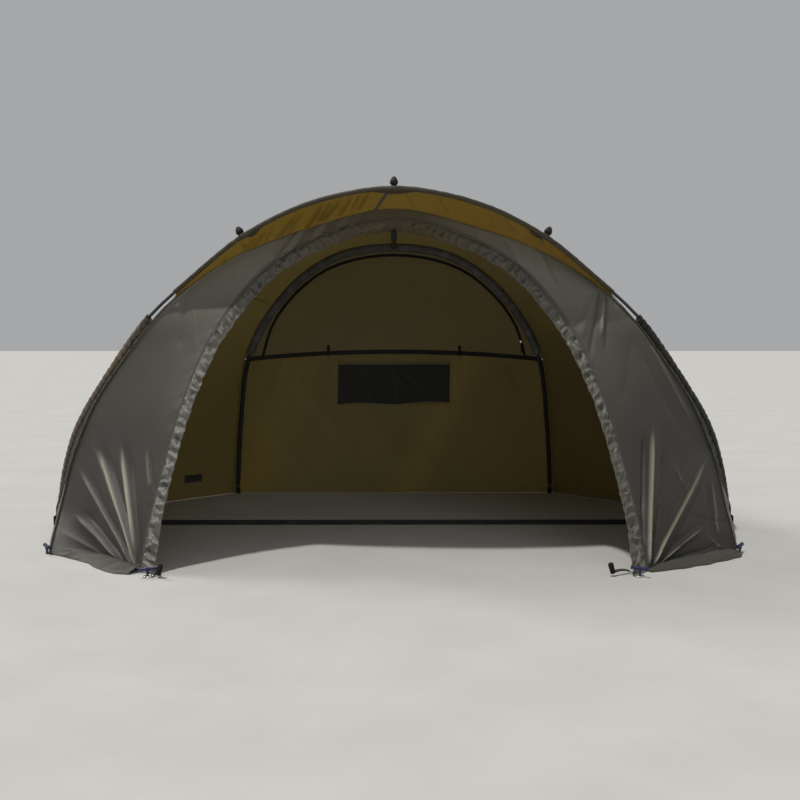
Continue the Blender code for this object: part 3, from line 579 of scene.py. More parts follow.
class Graph:
    """Short calls for building one material's nodes."""

    def __init__(self, name):
        self.material = bpy.data.materials.new(name)
        self.material.use_nodes = True
        self.nodes = self.material.node_tree.nodes
        self.links = self.material.node_tree.links
        self.shader = self.nodes["Principled BSDF"]
        self.output = self.nodes["Material Output"]

    def add(self, kind, inputs=(), **settings):
        made = self.nodes.new(kind)
        for key, value in settings.items():
            setattr(made, key, value)
        for key, value in dict(inputs).items():
            self.put(made.inputs[key], value)
        return made

    def put(self, socket, value):
        if isinstance(value, bpy.types.NodeSocket):
            self.links.new(value, socket)
        elif isinstance(value, tuple) and len(value) == 3 and socket.type == "RGBA":
            socket.default_value = (*value, 1.0)
        else:
            socket.default_value = value

    def math(self, kind, first, second=0.0):
        return self.add("ShaderNodeMath", {0: first, 1: second}, operation=kind).outputs[0]

    def times(self, first, second):
        return self.math("MULTIPLY", first, second)

    def range(self, value, low, high, to_low=0.0, to_high=1.0):
        inputs = {"Value": value, "From Min": low, "From Max": high, "To Min": to_low, "To Max": to_high}
        return self.add("ShaderNodeMapRange", inputs).outputs[0]

    def blend(self, share, first, second, kind="MIX"):
        made = self.add("ShaderNodeMix", data_type="RGBA", blend_type=kind)
        for place, value in ((0, share), (6, first), (7, second)):
            self.put(made.inputs[place], value)
        return made.outputs[2]

    def shaded(self, colour, level):
        """A colour made as bright as level says, where 1 leaves it as it is."""
        grey = self.add("ShaderNodeCombineColor", {0: level, 1: level, 2: level}).outputs[0]
        return self.blend(1.0, colour, grey, "MULTIPLY")

    def noise(self, scale, detail=3.0, place=None, roughness=0.55):
        place = self.object_place() if place is None else place
        inputs = {"Scale": scale, "Detail": detail, "Roughness": roughness, "Vector": place}
        return self.add("ShaderNodeTexNoise", inputs).outputs["Fac"]

    def streaks(self, place, scale, detail=2.0):
        """Noise that is drawn out by a different scale along each axis."""
        drawn = self.add("ShaderNodeMapping", {"Vector": place, "Scale": scale}).outputs[0]
        return self.noise(1.0, detail, drawn)

    def object_place(self):
        return self.add("ShaderNodeTexCoord").outputs["Object"]

    def metres(self):
        return self.add("ShaderNodeUVMap", uv_map="metres").outputs[0]

    def axes(self, place):
        return self.add("ShaderNodeSeparateXYZ", {0: place}).outputs

    def relief(self):
        return self.add("ShaderNodeAttribute", attribute_name="relief").outputs["Fac"]

    def wave(self, place, direction, period):
        """Even bands from 0 to 1 across the UV map, one for each period."""
        inputs = {"Vector": place, "Scale": math.pi / 10.0 / period}
        return self.add("ShaderNodeTexWave", inputs, bands_direction=direction).outputs["Fac"]

    def bump(self, height, depth, strength=1.0, under=None):
        inputs = {"Height": height, "Distance": depth, "Strength": strength}
        if under is not None:
            inputs["Normal"] = under
        return self.add("ShaderNodeBump", inputs).outputs[0]

    def finish(self, **values):
        for key, value in values.items():
            self.put(self.shader.inputs[key.replace("_", " ")], value)
        return self.material


def tinted(colour, share):
    return tuple(min(1.0, c * share) for c in colour)


def woven_cloth(
    name, colour, through, glow, weave=0.0016, roughness=0.56, dust=0.10, sheen=0.12, shine=0.42,
    ridge=(2.1, 0.6), bands=(), painted_gold=None, heights=(),
):
    """Coated polyester: a plain weave, faint dust, paler ridges, and light that comes through from behind.

    ridge sets a painted highlight on raised folds: how much paler they are and how strongly, or
    their colour, how strongly and the relief that it starts at; hollows get painted shade. bands are lit
    strips, as (x at the ground, lean, half width) in the wall's metres. The gold colour round the ridge
    of the front is painted light from the peak. heights are steps of painted shade and light: (height,
    height, brightness, brightness).
    """
    graph = Graph(name)
    place = graph.metres()
    threads = graph.times(graph.wave(place, "X", weave), graph.wave(place, "Y", weave))
    slub = graph.streaks(place, (40.0, 900.0, 1.0))
    cloudy = graph.noise(2.3, 4.0)
    fine = graph.noise(70.0)
    base = graph.shaded(colour, graph.range(cloudy, 0.3, 0.7, 0.90, 1.09))
    base = graph.blend(graph.range(threads, 0.2, 1.0, 0.0, 0.16), base, tinted(colour, 1.7))
    base = graph.blend(graph.range(slub, 0.45, 0.75, 0.0, 0.14), base, tinted(colour, 0.62))
    # Painted shade and light: darker or brighter by height
    for low, high, first, last in heights:
        up = graph.axes(graph.object_place())[2]
        base = graph.shaded(base, graph.range(up, low, high, first, last))
    # Painted light: a gold glow near the top of the front's middle, standing in for light from the peak
    if painted_gold:
        x, _, up = graph.axes(graph.object_place())
        near_ridge = graph.range(graph.math("ABSOLUTE", x), 0.10, 0.52, 1.0, 0.0)
        base = graph.blend(graph.times(near_ridge, graph.range(up, 1.0, 1.16)), base, painted_gold)
    # Painted highlight on raised relief, and painted shade in the hollows
    relief = graph.relief()
    pale, share, start = ridge if len(ridge) == 3 else (tinted(colour, ridge[0]), ridge[1], 0.002)
    base = graph.blend(graph.range(relief, start, start + 0.008, 0.0, share), base, pale)
    base = graph.blend(graph.range(relief, -0.001, -0.008, 0.0, 0.55), base, tinted(colour, 0.50))
    if bands:
        x, height, _ = graph.axes(place)
        lit = 0.0
        for foot, lean, half in bands:
            aside = graph.math("SUBTRACT", graph.math("SUBTRACT", x, graph.times(height, lean)), foot)
            strip = graph.range(graph.math("ABSOLUTE", aside), half * 0.1, half, 1.0, 0.0)
            lit = graph.math("MAXIMUM", lit, strip)
        lit = graph.times(lit, graph.range(cloudy, 0.35, 0.6, 0.6, 1.0))
        low = graph.range(height, 0.05, 0.40, 0.85, 0.45)
        base = graph.blend(graph.times(lit, low), base, LIT_STRIP)
        through = graph.blend(lit, tinted(through, 0.72), through)
    dusty = graph.times(graph.range(fine, 0.5, 0.78), graph.range(cloudy, 0.42, 0.66, 0.1, 1.0))
    base = graph.blend(graph.times(dusty, dust * 2.0), base, DUST)
    normal = graph.bump(threads, 0.0004, 0.45, graph.bump(fine, 0.0006, 0.35))
    rough = graph.range(cloudy, 0.3, 0.7, roughness - 0.05, roughness + 0.07)
    look = {"Sheen_Weight": sheen, "Sheen_Roughness": 0.4, "Specular_IOR_Level": shine}
    graph.finish(Base_Color=base, Roughness=rough, Normal=normal, **look)
    if glow:
        behind = graph.add("ShaderNodeBsdfTranslucent", {"Color": through}).outputs[0]
        both = graph.add("ShaderNodeMixShader", {0: glow, 1: graph.shader.outputs[0], 2: behind})
        graph.links.new(both.outputs[0], graph.output.inputs[0])
    return graph.material


def webbing(name, colour, rib=0.0026, stitches=0.0, thread=(0.05, 0.05, 0.045), mapped=True):
    """Woven tape: ribs across it, and two stitched rows at that distance from its middle line."""
    graph = Graph(name)
    place = graph.metres() if mapped else graph.object_place()
    ribs = graph.wave(place, "X", rib)
    grain = graph.streaks(place, (300.0, 1500.0, 1.0))
    cloudy = graph.noise(14.0)
    base = graph.blend(graph.range(ribs, 0.1, 0.9, 0.0, 0.45), tinted(colour, 0.55), tinted(colour, 1.6))
    base = graph.blend(graph.range(cloudy, 0.5, 0.75, 0.0, 0.3), base, (0.09, 0.08, 0.06))
    height = graph.math("ADD", ribs, graph.times(grain, 0.5))
    if stitches:
        along, across, _ = graph.axes(place)
        off = graph.math("ABSOLUTE", graph.math("SUBTRACT", graph.math("ABSOLUTE", across), stitches))
        dash = graph.math("FRACT", graph.math("DIVIDE", along, 0.0048))
        on = graph.times(graph.math("LESS_THAN", off, 0.0005), graph.math("LESS_THAN", dash, 0.66))
        base = graph.blend(on, base, thread)
        height = graph.math("ADD", height, graph.times(on, 1.5))
    look = {"Roughness": 0.82, "Sheen_Weight": 0.15, "Sheen_Roughness": 0.5}
    return graph.finish(Base_Color=base, Normal=graph.bump(height, 0.0004, 0.6), **look)


def mesh_netting(name):
    """Fine black netting with its creases."""
    graph = Graph(name)
    place = graph.metres()
    threads = graph.math("MAXIMUM", graph.wave(place, "X", 0.0018), graph.wave(place, "Y", 0.0018))
    cloudy = graph.noise(9.0)
    base = graph.blend(graph.range(threads, 0.3, 0.95), (0.005, 0.005, 0.0045), (0.026, 0.026, 0.023))
    # Painted highlight: the creases' tops are paler
    base = graph.blend(graph.range(graph.relief(), 0.001, 0.008, 0.0, 0.8), base, (0.042, 0.040, 0.034))
    base = graph.blend(graph.range(cloudy, 0.45, 0.7, 0.0, 0.4), base, (0.024, 0.023, 0.020))
    normal = graph.bump(threads, 0.0005, 0.7)
    return graph.finish(Base_Color=base, Roughness=0.7, Normal=normal, Sheen_Weight=0.2)


def plastic(name, colour, roughness=0.46, grain=0.3, shine=0.5):
    """Moulded plastic with a fine grain and scuffs."""
    graph = Graph(name)
    scuffs = graph.noise(60.0, 5.0, roughness=0.7)
    base = graph.blend(graph.range(scuffs, 0.56, 0.72, 0.0, 0.4), colour, tinted(colour, 2.4))
    rough = graph.range(scuffs, 0.4, 0.7, roughness - 0.06, roughness + 0.16)
    normal = graph.bump(graph.noise(900.0, 2.0), 0.0002, grain)
    return graph.finish(Base_Color=base, Roughness=rough, Normal=normal, Specular_IOR_Level=shine)


def metal(name, colour, roughness):
    """Drawn tube or wire: fine lines, and dull patches from handling."""
    graph = Graph(name)
    lines = graph.streaks(graph.object_place(), (60.0, 60.0, 900.0), 3.0)
    dull = graph.noise(24.0, 4.0)
    base = graph.blend(graph.range(dull, 0.5, 0.75, 0.0, 0.35), colour, tinted(colour, 0.55))
    rough = graph.range(dull, 0.35, 0.7, roughness - 0.05, roughness + 0.16)
    return graph.finish(Base_Color=base, Roughness=rough, Metallic=1.0, Normal=graph.bump(lines, 0.0002, 0.3))


# Strips of the lower wall that the light comes through
WALL_BANDS = ((-0.77, 0.38, 0.22), (0.056, 0.447, 0.13))
LIT_STRIP = (0.20, 0.125, 0.018)
DUST = (0.20, 0.18, 0.13)
KHAKI = (0.074, 0.071, 0.060)
LIT_KHAKI = (0.093, 0.089, 0.075)
OLIVE = (0.070, 0.060, 0.031)
# Painted light: the gold that light from the peak gives round the front's ridge
PAINTED_GOLD_LIGHT = (0.074, 0.057, 0.021)
TAPE_BLACK = (0.012, 0.013, 0.013)
# Colours of the light that comes through
KHAKI_GLOW = (0.52, 0.45, 0.24)
BROWN_GLOW = (0.5, 0.4, 0.2)
GREY_GLOW = (0.1, 0.1, 0.1)
# Painted shade and light up the front: darker towards the ground, brighter high over the header
FRONT_PAINTED_LIGHT_STEPS = ((0.05, 0.45, 0.55, 1.0), (0.45, 0.80, 0.45, 1.0), (0.82, 1.04, 1.0, 2.3))
FRONT_LOOK = {"roughness": 0.40, "sheen": 0.07, "shine": 0.38, "heights": FRONT_PAINTED_LIGHT_STEPS}

# Its ridge colour is a painted highlight on the wings' folds
outer_cloth = woven_cloth(
    "outer_cloth", LIT_KHAKI, KHAKI_GLOW, 0.24, ridge=((0.34, 0.32, 0.235), 0.85, 0.0028), **FRONT_LOOK
)
header_cloth = woven_cloth(
    "header_cloth", LIT_KHAKI, KHAKI_GLOW, 0.24, ridge=(tinted(LIT_KHAKI, 1.7), 0.7, 0.0014), painted_gold=PAINTED_GOLD_LIGHT,
    **FRONT_LOOK,
)
skin_cloth = woven_cloth("skin_cloth", KHAKI, KHAKI_GLOW, 0.24, roughness=0.44, shine=0.5, ridge=(1.3, 0.4))
rim_cloth = woven_cloth(
    "rim_cloth", tinted(KHAKI, 1.4), (0.50, 0.42, 0.20), 0.22, roughness=0.38, shine=0.5, ridge=(2.3, 0.6),
    painted_gold=PAINTED_GOLD_LIGHT,
)
# Darker than the front's khaki: partly the hem's own colour, partly painted shade, as it faces up to the
# lamps
skirt_cloth = woven_cloth(
    "skirt_cloth", (0.050, 0.047, 0.038), BROWN_GLOW, 0.10, roughness=0.50, sheen=0.05, shine=0.3
)
# Painted light: its inner face grows up to 2.7 times as bright from 0.55 m to 1 m up
panel_inside = woven_cloth(
    "panel_inside", tinted(OLIVE, 1.15), (0.62, 0.52, 0.23), 0.30, heights=((0.55, 1.0, 1.0, 2.7),)
)
peak_outer = woven_cloth("peak_outer", KHAKI, (0.70, 0.53, 0.12), 0.34)
peak_inside = woven_cloth("peak_inside", (0.080, 0.060, 0.012), (0.62, 0.46, 0.08), 0.36)
lower_wall_cloth = woven_cloth(
    "lower_wall_cloth", (0.142, 0.124, 0.060), (0.84, 0.68, 0.27), 0.34, bands=WALL_BANDS
)
door_cloth = woven_cloth("door_cloth", (0.146, 0.129, 0.070), (0.70, 0.58, 0.27), 0.25)
strip_cloth = woven_cloth("strip_cloth", (0.185, 0.158, 0.070), (0.62, 0.48, 0.16), 0.30)
# Strong painted highlights on the gathers' tops, painted shade between them
sleeve_cloth = woven_cloth(
    "sleeve_cloth", (0.036, 0.026, 0.014), BROWN_GLOW, 0.08, sheen=0.04, shine=0.3, ridge=(2.9, 0.8)
)
# Painted shade: a near-black copy of the sleeve cloth, for the right sleeve and the webs beside the folds
painted_shade_sleeve_cloth = woven_cloth(
    "painted_shade_sleeve_cloth", (0.015, 0.014, 0.010), (0.3, 0.25, 0.1), 0.03, sheen=0.02, shine=0.15
)
hem_cloth = woven_cloth("hem_cloth", (0.042, 0.034, 0.018), BROWN_GLOW, 0.08, sheen=0.06)
patch_brown = woven_cloth("patch_brown", (0.040, 0.029, 0.012), BROWN_GLOW, 0.10)
band_cloth = woven_cloth("band_cloth", (0.105, 0.108, 0.107), GREY_GLOW, 0.0, weave=0.0022)
leg_cloth = woven_cloth("leg_cloth", (0.011, 0.012, 0.012), GREY_GLOW, 0.0, weave=0.0022, dust=0.03)
patch_cloth = woven_cloth("patch_cloth", (0.030, 0.030, 0.026), GREY_GLOW, 0.0, weave=0.0014)
netting = mesh_netting("netting")
black_webbing = webbing("black_webbing", TAPE_BLACK, stitches=0.009)
solid_webbing = webbing("solid_webbing", TAPE_BLACK, rib=0.0030, mapped=False)
seam_tape = webbing("seam_tape", KHAKI, rib=0.0014, stitches=0.0026, thread=(0.03, 0.03, 0.025))
black_plastic = plastic("moulded_black", (0.006, 0.0065, 0.007), 0.60, shine=0.25)
blue_plastic = plastic("moulded_blue", (0.012, 0.018, 0.070), 0.38)
pole_metal = metal("coated_pole", (0.075, 0.078, 0.080), 0.34)
bright_steel = metal("bright_steel", (0.62, 0.62, 0.60), 0.24)

# How steep the ridges of each set of folds are on their right, and how much of their drawn height they get
STEEP = {"left_wing": 2.6, "right_wing": 1.8, "header": 1.6, "peak": 1.6}
STRENGTH = {"left_wing": 0.72, "header": 1.9, "peak": 2.1}
# Folds that show in the photograph, as (x, y, x, y, width, width, height): pixels, and metres for the height
LEFT_WING_FOLDS = (
    (78, 467, 122, 560, 2.2, 1.6, 0.012),
    (84, 466, 127, 562, 3.6, 2.0, -0.007),
    (99, 448, 134, 570, 6.2, 1.7, 0.020),
    (93, 440, 104, 470, 3.0, 3.6, 0.006),
    (107, 448, 138, 572, 5.2, 1.5, -0.013),
    (93, 452, 128, 568, 4.5, 1.8, -0.007),
    (122.5, 448, 135.5, 571, 6.4, 1.7, 0.021),
    (131, 448, 139, 572, 4.8, 1.4, -0.013),
    (116, 452, 132, 568, 4.0, 1.6, -0.007),
    (138, 494, 138.5, 561, 2.4, 1.8, 0.008),
    (142, 496, 141, 558, 2.4, 1.6, -0.004),
    (147.5, 452, 150, 488, 3.0, 2.2, 0.010),
    (152, 456, 153, 490, 2.2, 1.6, -0.006),
    (74, 518, 106, 560, 7.0, 4.6, 0.013),
    (84, 514, 114, 561, 4.2, 3.0, -0.011),
    (60, 532, 92, 560, 12.0, 10.0, 0.005),
    (58, 550, 122, 568, 3.6, 3.0, 0.008),
    (186, 292, 178, 345, 2.5, 7.0, -0.006),
    (192, 292, 196, 350, 2.5, 8.0, 0.005),
    (238, 262, 234, 300, 2.2, 3.5, 0.004),
    (244, 260, 242, 296, 2.0, 3.2, -0.004),
)
RIGHT_WING_FOLDS = (
    (652, 426, 649, 571, 8.5, 2.4, 0.016),
    (644, 436, 644, 510, 2.8, 2.6, -0.015),
    (644, 500, 645, 570, 2.4, 1.5, -0.012),
    (663, 450, 660, 520, 4.0, 3.4, -0.009),
    (660, 508, 650, 570, 3.0, 1.6, -0.010),
    (706, 458, 653, 569, 9.0, 2.6, 0.017),
    (706, 520, 678, 544, 5.0, 3.6, -0.008),
    (682, 536, 653, 570, 3.6, 1.8, -0.008),
    (704, 529, 656, 569, 5.0, 2.4, 0.011),
    (716, 546, 666, 563, 3.6, 2.6, -0.006),
    (733, 553, 660, 571, 4.5, 3.0, 0.009),
    (711, 478, 719, 536, 3.0, 3.5, 0.006),
    (706, 486, 713, 536, 3.0, 3.0, -0.005),
    (692, 516, 732, 524, 2.2, 2.2, -0.004),
    (708, 536, 722, 548, 3.0, 3.0, 0.006),
    (675, 468, 686, 492, 2.6, 2.6, 0.004),
    (689, 452, 683, 470, 2.2, 2.2, 0.004),
    (683, 470, 676, 492, 2.2, 2.2, 0.004),
    (601, 286, 590, 356, 2.2, 4.4, -0.011),
    (605, 287, 601, 334, 2.0, 4.0, 0.011),
    (607, 289, 606, 352, 1.8, 5.0, -0.009),
    (597, 288, 580, 340, 2.4, 4.6, 0.006),
    (592, 290, 574, 330, 2.4, 4.0, -0.005),
    (621, 304, 648, 338, 3.0, 5.0, 0.009),
    (645, 335, 690, 420, 5.0, 6.0, 0.007),
    (633, 335, 624, 400, 9.0, 11.0, -0.008),
    (640, 350, 676, 420, 6.0, 7.0, -0.005),
)
HEADER_FOLDS = (
    (302, 226, 276, 262, 2.4, 3.2, 0.0050),
    (312, 222, 290, 254, 1.8, 2.4, -0.0045),
    (322, 220, 298, 256, 2.2, 3.0, 0.0050),
    (334, 216, 312, 248, 2.0, 2.6, -0.0045),
    (342, 215, 324, 243, 2.0, 2.6, 0.0045),
    (354, 213, 336, 238, 1.8, 2.4, -0.0035),
    (366, 211, 352, 232, 2.0, 2.6, 0.0035),
    (290, 250, 268, 282, 2.5, 2.5, 0.003),
    (310, 243, 292, 270, 2.2, 2.2, -0.003),
    (338, 236, 322, 258, 2.4, 2.2, 0.003),
    (352, 228, 346, 240, 2.0, 2.0, 0.002),
    (470, 226, 480, 250, 2.6, 3.0, 0.002),
    (505, 238, 522, 268, 3.0, 3.4, -0.003),
    (540, 252, 556, 286, 3.2, 3.6, 0.003),
    (394, 212, 394, 236, 2.0, 2.2, 0.002),
)
# Creases of the window's netting, in metres: x and height at both ends, width and height
WINDOW_CREASES = (
    (-0.250, 0.560, -0.120, 0.640, 0.012, 0.0060),
    (-0.225, 0.500, -0.060, 0.625, 0.013, 0.0075),
    (-0.150, 0.485, -0.035, 0.600, 0.011, 0.0060),
    (-0.080, 0.485, -0.015, 0.580, 0.009, 0.0065),
    (0.010, 0.482, -0.005, 0.660, 0.012, 0.0080),
    (0.015, 0.600, 0.110, 0.500, 0.012, 0.0070),
    (0.030, 0.640, 0.190, 0.520, 0.013, 0.0060),
    (0.120, 0.655, 0.255, 0.560, 0.012, 0.0055),
    (0.150, 0.500, 0.262, 0.492, 0.010, 0.0040),
    (-0.262, 0.640, -0.190, 0.665, 0.009, 0.0035),
)
PEAK_FOLDS = (
    (296, 214, 276, 238, 1.5, 2.0, -0.007),
    (303, 211, 286, 236, 1.8, 2.2, 0.005),
    (323, 203, 305, 228, 1.5, 2.0, -0.008),
    (331, 201, 316, 224, 1.8, 2.2, 0.005),
    (341, 199, 322, 220, 1.5, 1.9, -0.007),
    (352, 196, 338, 216, 1.6, 2.0, -0.006),
    (360, 194, 350, 212, 1.8, 2.0, 0.005),
    (369, 192, 358, 210, 1.4, 1.8, -0.005),
    (243, 243, 246, 252, 1.4, 1.6, -0.006),
    (254, 238, 244, 252, 1.5, 1.8, 0.004),
    (226, 256, 214, 272, 1.4, 1.8, -0.006),
    (266, 229, 252, 246, 1.6, 2.0, -0.006),
    (274, 225, 264, 242, 1.8, 2.0, 0.004),
    (404, 190, 412, 208, 1.8, 2.4, 0.003),
    (440, 196, 452, 214, 2.2, 2.8, -0.003),
    (476, 203, 492, 226, 2.2, 3.0, 0.003),
    (505, 213, 520, 236, 2.0, 2.6, -0.004),
    (541, 234, 546, 246, 1.6, 2.0, -0.006),
    (556, 240, 566, 256, 1.8, 2.2, 0.004),
)


# The cloth


def lumps(points, seed, sizes):
    """Soft unevenness of stretched cloth: (size, height) pairs."""
    return sum(noise_at(points, size, seed + k * 7.3) * height for k, (size, height) in enumerate(sizes))


def make_skin():
    """The roof and both sides in one sheet, with folds that fan out from the hubs."""
    grid = skin_surface(SKIN_ROWS, SKIN_COLUMNS)
    shares = np.abs(np.linspace(-1.0, 1.0, 2 * SKIN_ROWS + 1))[:, None]
    back = np.linspace(0.0, 1.0, SKIN_COLUMNS + 1)[None, :]
    held = smooth_step(back, 0.0, 0.10) * (1.0 - smooth_step(back, 0.93, 1.0))
    raised = lumps(grid, 3.1, ((0.55, 0.008), (0.16, 0.0022))) * held
    stretched = np.array((0.10, 1.0, 0.35))
    raised += noise_at(grid, stretched * 0.26, 11.0) * 0.0030 * held
    pull = smooth_step(shares, 0.72, 1.0)
    fan = np.arctan2(grid[..., 2], grid[..., 1] - 0.02) * 17.0 + np.sign(grid[..., 0])
    raised += np.sin(fan) * 0.0034 * pull * smooth_step(grid[..., 2], 0.02, 0.15) * held
    made, outer = cloth("shelter_skin", grid, raised - 0.0006, (skin_cloth, panel_inside))
    declare(made, outer, "stretched", "front_pole", "back_pole")
    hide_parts("roof_panel", "left_side_panel", "right_side_panel")
    return outer


def over_near(raised, reach):
    """How far each place stands over the mean of its row within reach columns."""
    columns = raised.shape[1]
    padded = np.pad(raised, ((0, 0), (reach + 1, reach)), mode="edge")
    sums = np.cumsum(padded, axis=1)
    return raised - (sums[:, 2 * reach + 1 :] - sums[:, :columns]) / (2 * reach + 1)


def make_front():
    """The header over the opening and the two wings, cut from one grid."""
    shares = foot_shares(FRONT_ROWS)
    start, stitch, _ = front_edges(shares)
    across = np.linspace(0.0, 1.0, FRONT_COLUMNS + 1)[None, :, None]
    grid = mix(start[:, None], stitch[:, None], across)
    share = across[..., 0]
    edge = smooth_step(share, 0.0, 0.05) * (1.0 - 0.75 * smooth_step(share, 0.95, 1.0))
    low = smooth_step(grid[..., 2], 0.0, 0.03)
    raised = folds(grid, LEFT_WING_FOLDS, STEEP["left_wing"]) * STRENGTH["left_wing"] * (grid[..., 0] < 0)
    raised += folds(grid, RIGHT_WING_FOLDS, STEEP["right_wing"]) * (grid[..., 0] > 0)
    raised += folds(grid, HEADER_FOLDS, STEEP["header"]) * STRENGTH["header"]
    raised += lumps(grid, 8.7, ((0.40, 0.005), (0.11, 0.0012)))
    in_from_seam = distances(grid[:, ::-1], 1)[:, ::-1]
    pucker = ripples(distances(grid, 0)[:, -1:] / 0.028 + in_from_seam * 14.0, in_from_seam / 0.06, 6.0)
    raised += pucker * 0.0040 * np.exp(-in_from_seam / 0.028)
    raised = raised * edge * (0.35 + 0.65 * low)
    bows = [soft_curve(share, *FOOT_BOW[side]) for side, _ in SIDES]
    bow = np.where(grid[..., 0] < 0, *bows) * np.exp(-((grid[..., 2] / 0.13) ** 1.3))
    grid = grid + bow[..., None] * np.where(grid[..., :1] > 0, WING_OUT, mirrored(WING_OUT))
    outer, inner, flip = faces_of(grid, raised - 0.001)
    uvs = metres_of(outer)
    wing = FRONT_ROWS - int(np.searchsorted(shares, HEADER_SHARE))
    parts = {
        "left_wing": slice(0, wing + 1),
        "front_header": slice(wing, len(grid) - wing),
        "right_wing": slice(len(grid) - wing - 1, len(grid)),
    }
    # This relief sets the painted highlights on the folds and the painted shade between them
    relief = over_near(raised, 16)
    for node, rows in parts.items():
        both = (header_cloth if node == "front_header" else outer_cloth, panel_inside)
        details = {"uvs": uvs[rows], "relief": relief[rows]}
        made = shell(f"{node}_cloth", outer[rows], inner[rows], both, flip, **details)
        declare(made, outer[rows], "stretched", "front_pole")
        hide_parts(node)
    return outer


def make_ground_skirt(side, sign, front):
    """The wing's hem, which turns outwards and lies on the ground from the corner peg to the front peg."""
    share = np.linspace(0.0, 1.0, 170)
    line = spaced(front[0 if sign < 0 else -1] * (1.0, 1.0, 0.0), share)
    bow, edge = (soft_curve(share, *table[side]) for table in (FOOT_BOW, HEM_REACH))
    reach = ((edge - bow) * (1.0 + 0.10 * ripples(share * 9.0, 0.0, 2.0 + sign)))[:, None]
    out = WING_OUT if sign > 0 else mirrored(WING_OUT)
    across = np.linspace(0.0, 1.0, 17)[None]
    grid = line[:, None] + (across * reach)[..., None] * out
    ripple = ripples(share[:, None] * 13.0 + across * 2.0, across * 0.8, 8.0)
    full = np.minimum(1.0, reach / 0.06)
    roll = np.sin(across * math.pi) ** 0.7 * (0.016 + 0.014 * ripple) * full
    grid[..., 2] = 0.0024 + 0.016 * (1.0 - across) ** 2 * full + np.maximum(roll, -0.001)
    made, outer = cloth(f"{side}_ground_skirt", grid, np.zeros(grid.shape[:2]), (skirt_cloth, skirt_cloth))
    declare(made, outer, "laid", f"{side}_front_peg", f"{side}_corner_peg")


def gathers(along, across, seed):
    """Crumpled gathers: ridges across a strip with sharp tops, uneven in pitch and height."""
    bent = along + RIM_SLANT * across
    coarse = ripples(bent / RIM_PITCH, across / 0.075, seed)
    crossed = ripples((along - 0.9 * across) / RIM_PITCH, across / 0.03, seed + 3.0)
    fine = ripples(bent / (RIM_PITCH * 0.45), across / 0.03, seed + 5.0)
    ridges = np.clip(1.0 - np.abs(coarse) * 3.6, -1.1, 1.0)
    return ridges + np.clip(0.7 - np.abs(crossed) * 3.0, -0.6, 0.7) * 0.8 + fine * 0.5


def make_rim():
    """The gathered elastic rim round the opening."""
    _, stitch, rim = front_edges(half_shares(RIM_ROWS))
    across = np.linspace(0.0, 1.0, RIM_COLUMNS + 1)
    grid = mix(stitch[:, None], rim[:, None], across[None, :, None])
    along = distances(grid, 0)
    along = np.abs(along - along[RIM_ROWS][None, :])
    left, right = (gathers(along, distances(grid, 1), seed) for seed in (2.0, 31.0))
    crumple = np.where(grid[..., 0] < 0, left, right)
    swell = np.sin(across * math.pi)[None] ** 0.7
    calm = mix(0.55, 1.0, smooth_step(along, 0.25, 0.8))
    raised = crumple * 0.0066 * (0.22 + 0.78 * swell) * calm + 0.003 * swell
    scallops = noise_at(grid[:, -1], 0.026, 4.0)[:, None, None] * 0.0060
    grid = grid + unit(grid[:, -1:] - grid[:, :1]) * scallops * across[None, :, None] ** 2
    made, outer = cloth("opening_rim", grid, raised - 0.001, (rim_cloth, panel_inside))
    declare(made, outer, "gathered", "front_header_cloth", "left_wing_cloth", "right_wing_cloth")
    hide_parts("front_rim")
    return outer


def peak_lines(rows):
    """The fold and the pole over the peak's width, left to right, at matching places."""
    steps = np.linspace(0.0, HEM_STEPS, rows + 1)
    return arch_through(FOLD_LINE, steps / CLOTH_STEPS), whole(pole_line(steps / POLE_STEPS))


def make_peak():
    """The peak, from the fold out to the front pole."""
    fold, pole = peak_lines(PEAK_ROWS)
    across, _ = frames_along(pole, fold - pole)
    front = pole + across * 0.0088 - inward(pole) * 0.0015
    share = np.linspace(0.0, 1.0, PEAK_COLUMNS + 1)[None, :, None]
    grid = mix(fold[:, None], front[:, None], share)
    held = smooth_step(share[..., 0], 0.0, 0.12)
    raised = folds(grid, PEAK_FOLDS, STEEP["peak"]) * held * STRENGTH["peak"]
    stretched = np.array((0.055, 0.50, 0.50))
    left = mix(0.35, 1.0, smooth_step(-grid[..., 0], -0.2, 0.3))
    raised += noise_at(grid, stretched, 2.0) * 0.0044 * held * left
    raised += lumps(grid, 5.0, ((0.3, 0.004),)) * held
    made, outer = cloth("peak_cloth", grid, raised, (peak_outer, peak_inside))
    declare(made, outer, "stretched", "front_pole")
    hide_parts("peak")
    return outer


def make_peak_hem():
    """The peak's gathered hem round the front pole, fuller under the knobs."""
    half = 280
    fold, pole = peak_lines(half)
    across, out = frames_along(pole, fold - pole)
    along = distances(pole[:, None], 0)
    pleat = ring_noise(along / 0.020, 0.8, 18, 3.0)
    knobs = sum(np.exp(-(((along - along[half + step]) / 0.014) ** 2)) for step in (-175, 0, 175))
    radii = 0.0085 + pleat * 0.0011 + knobs * 0.0028
    bore = (pole, FRONT_BORE)
    made = rings("gathered_peak_hem", pole, across, out, radii, radii, hem_cloth, 18, bore, pleat * 0.006)
    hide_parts("peak_hem")


def nearest_of(places, point):
    return np.argmin(np.sum((places - point) ** 2, axis=1))


def kept_over(points, skin, gap):
    """The same places, lifted to that far over the skin where they lie lower."""
    first = 2
    normals = surface_normals(skin)[0]
    places, outs = (part[:, first:].reshape(-1, 3) for part in (skin, normals))
    for i, j in np.ndindex(points.shape[:2]):
        near = nearest_of(places, points[i, j])
        if near % (skin.shape[1] - first):
            over = np.dot(points[i, j] - places[near], outs[near])
            points[i, j] += outs[near] * max(0.0, gap - over)
    return points


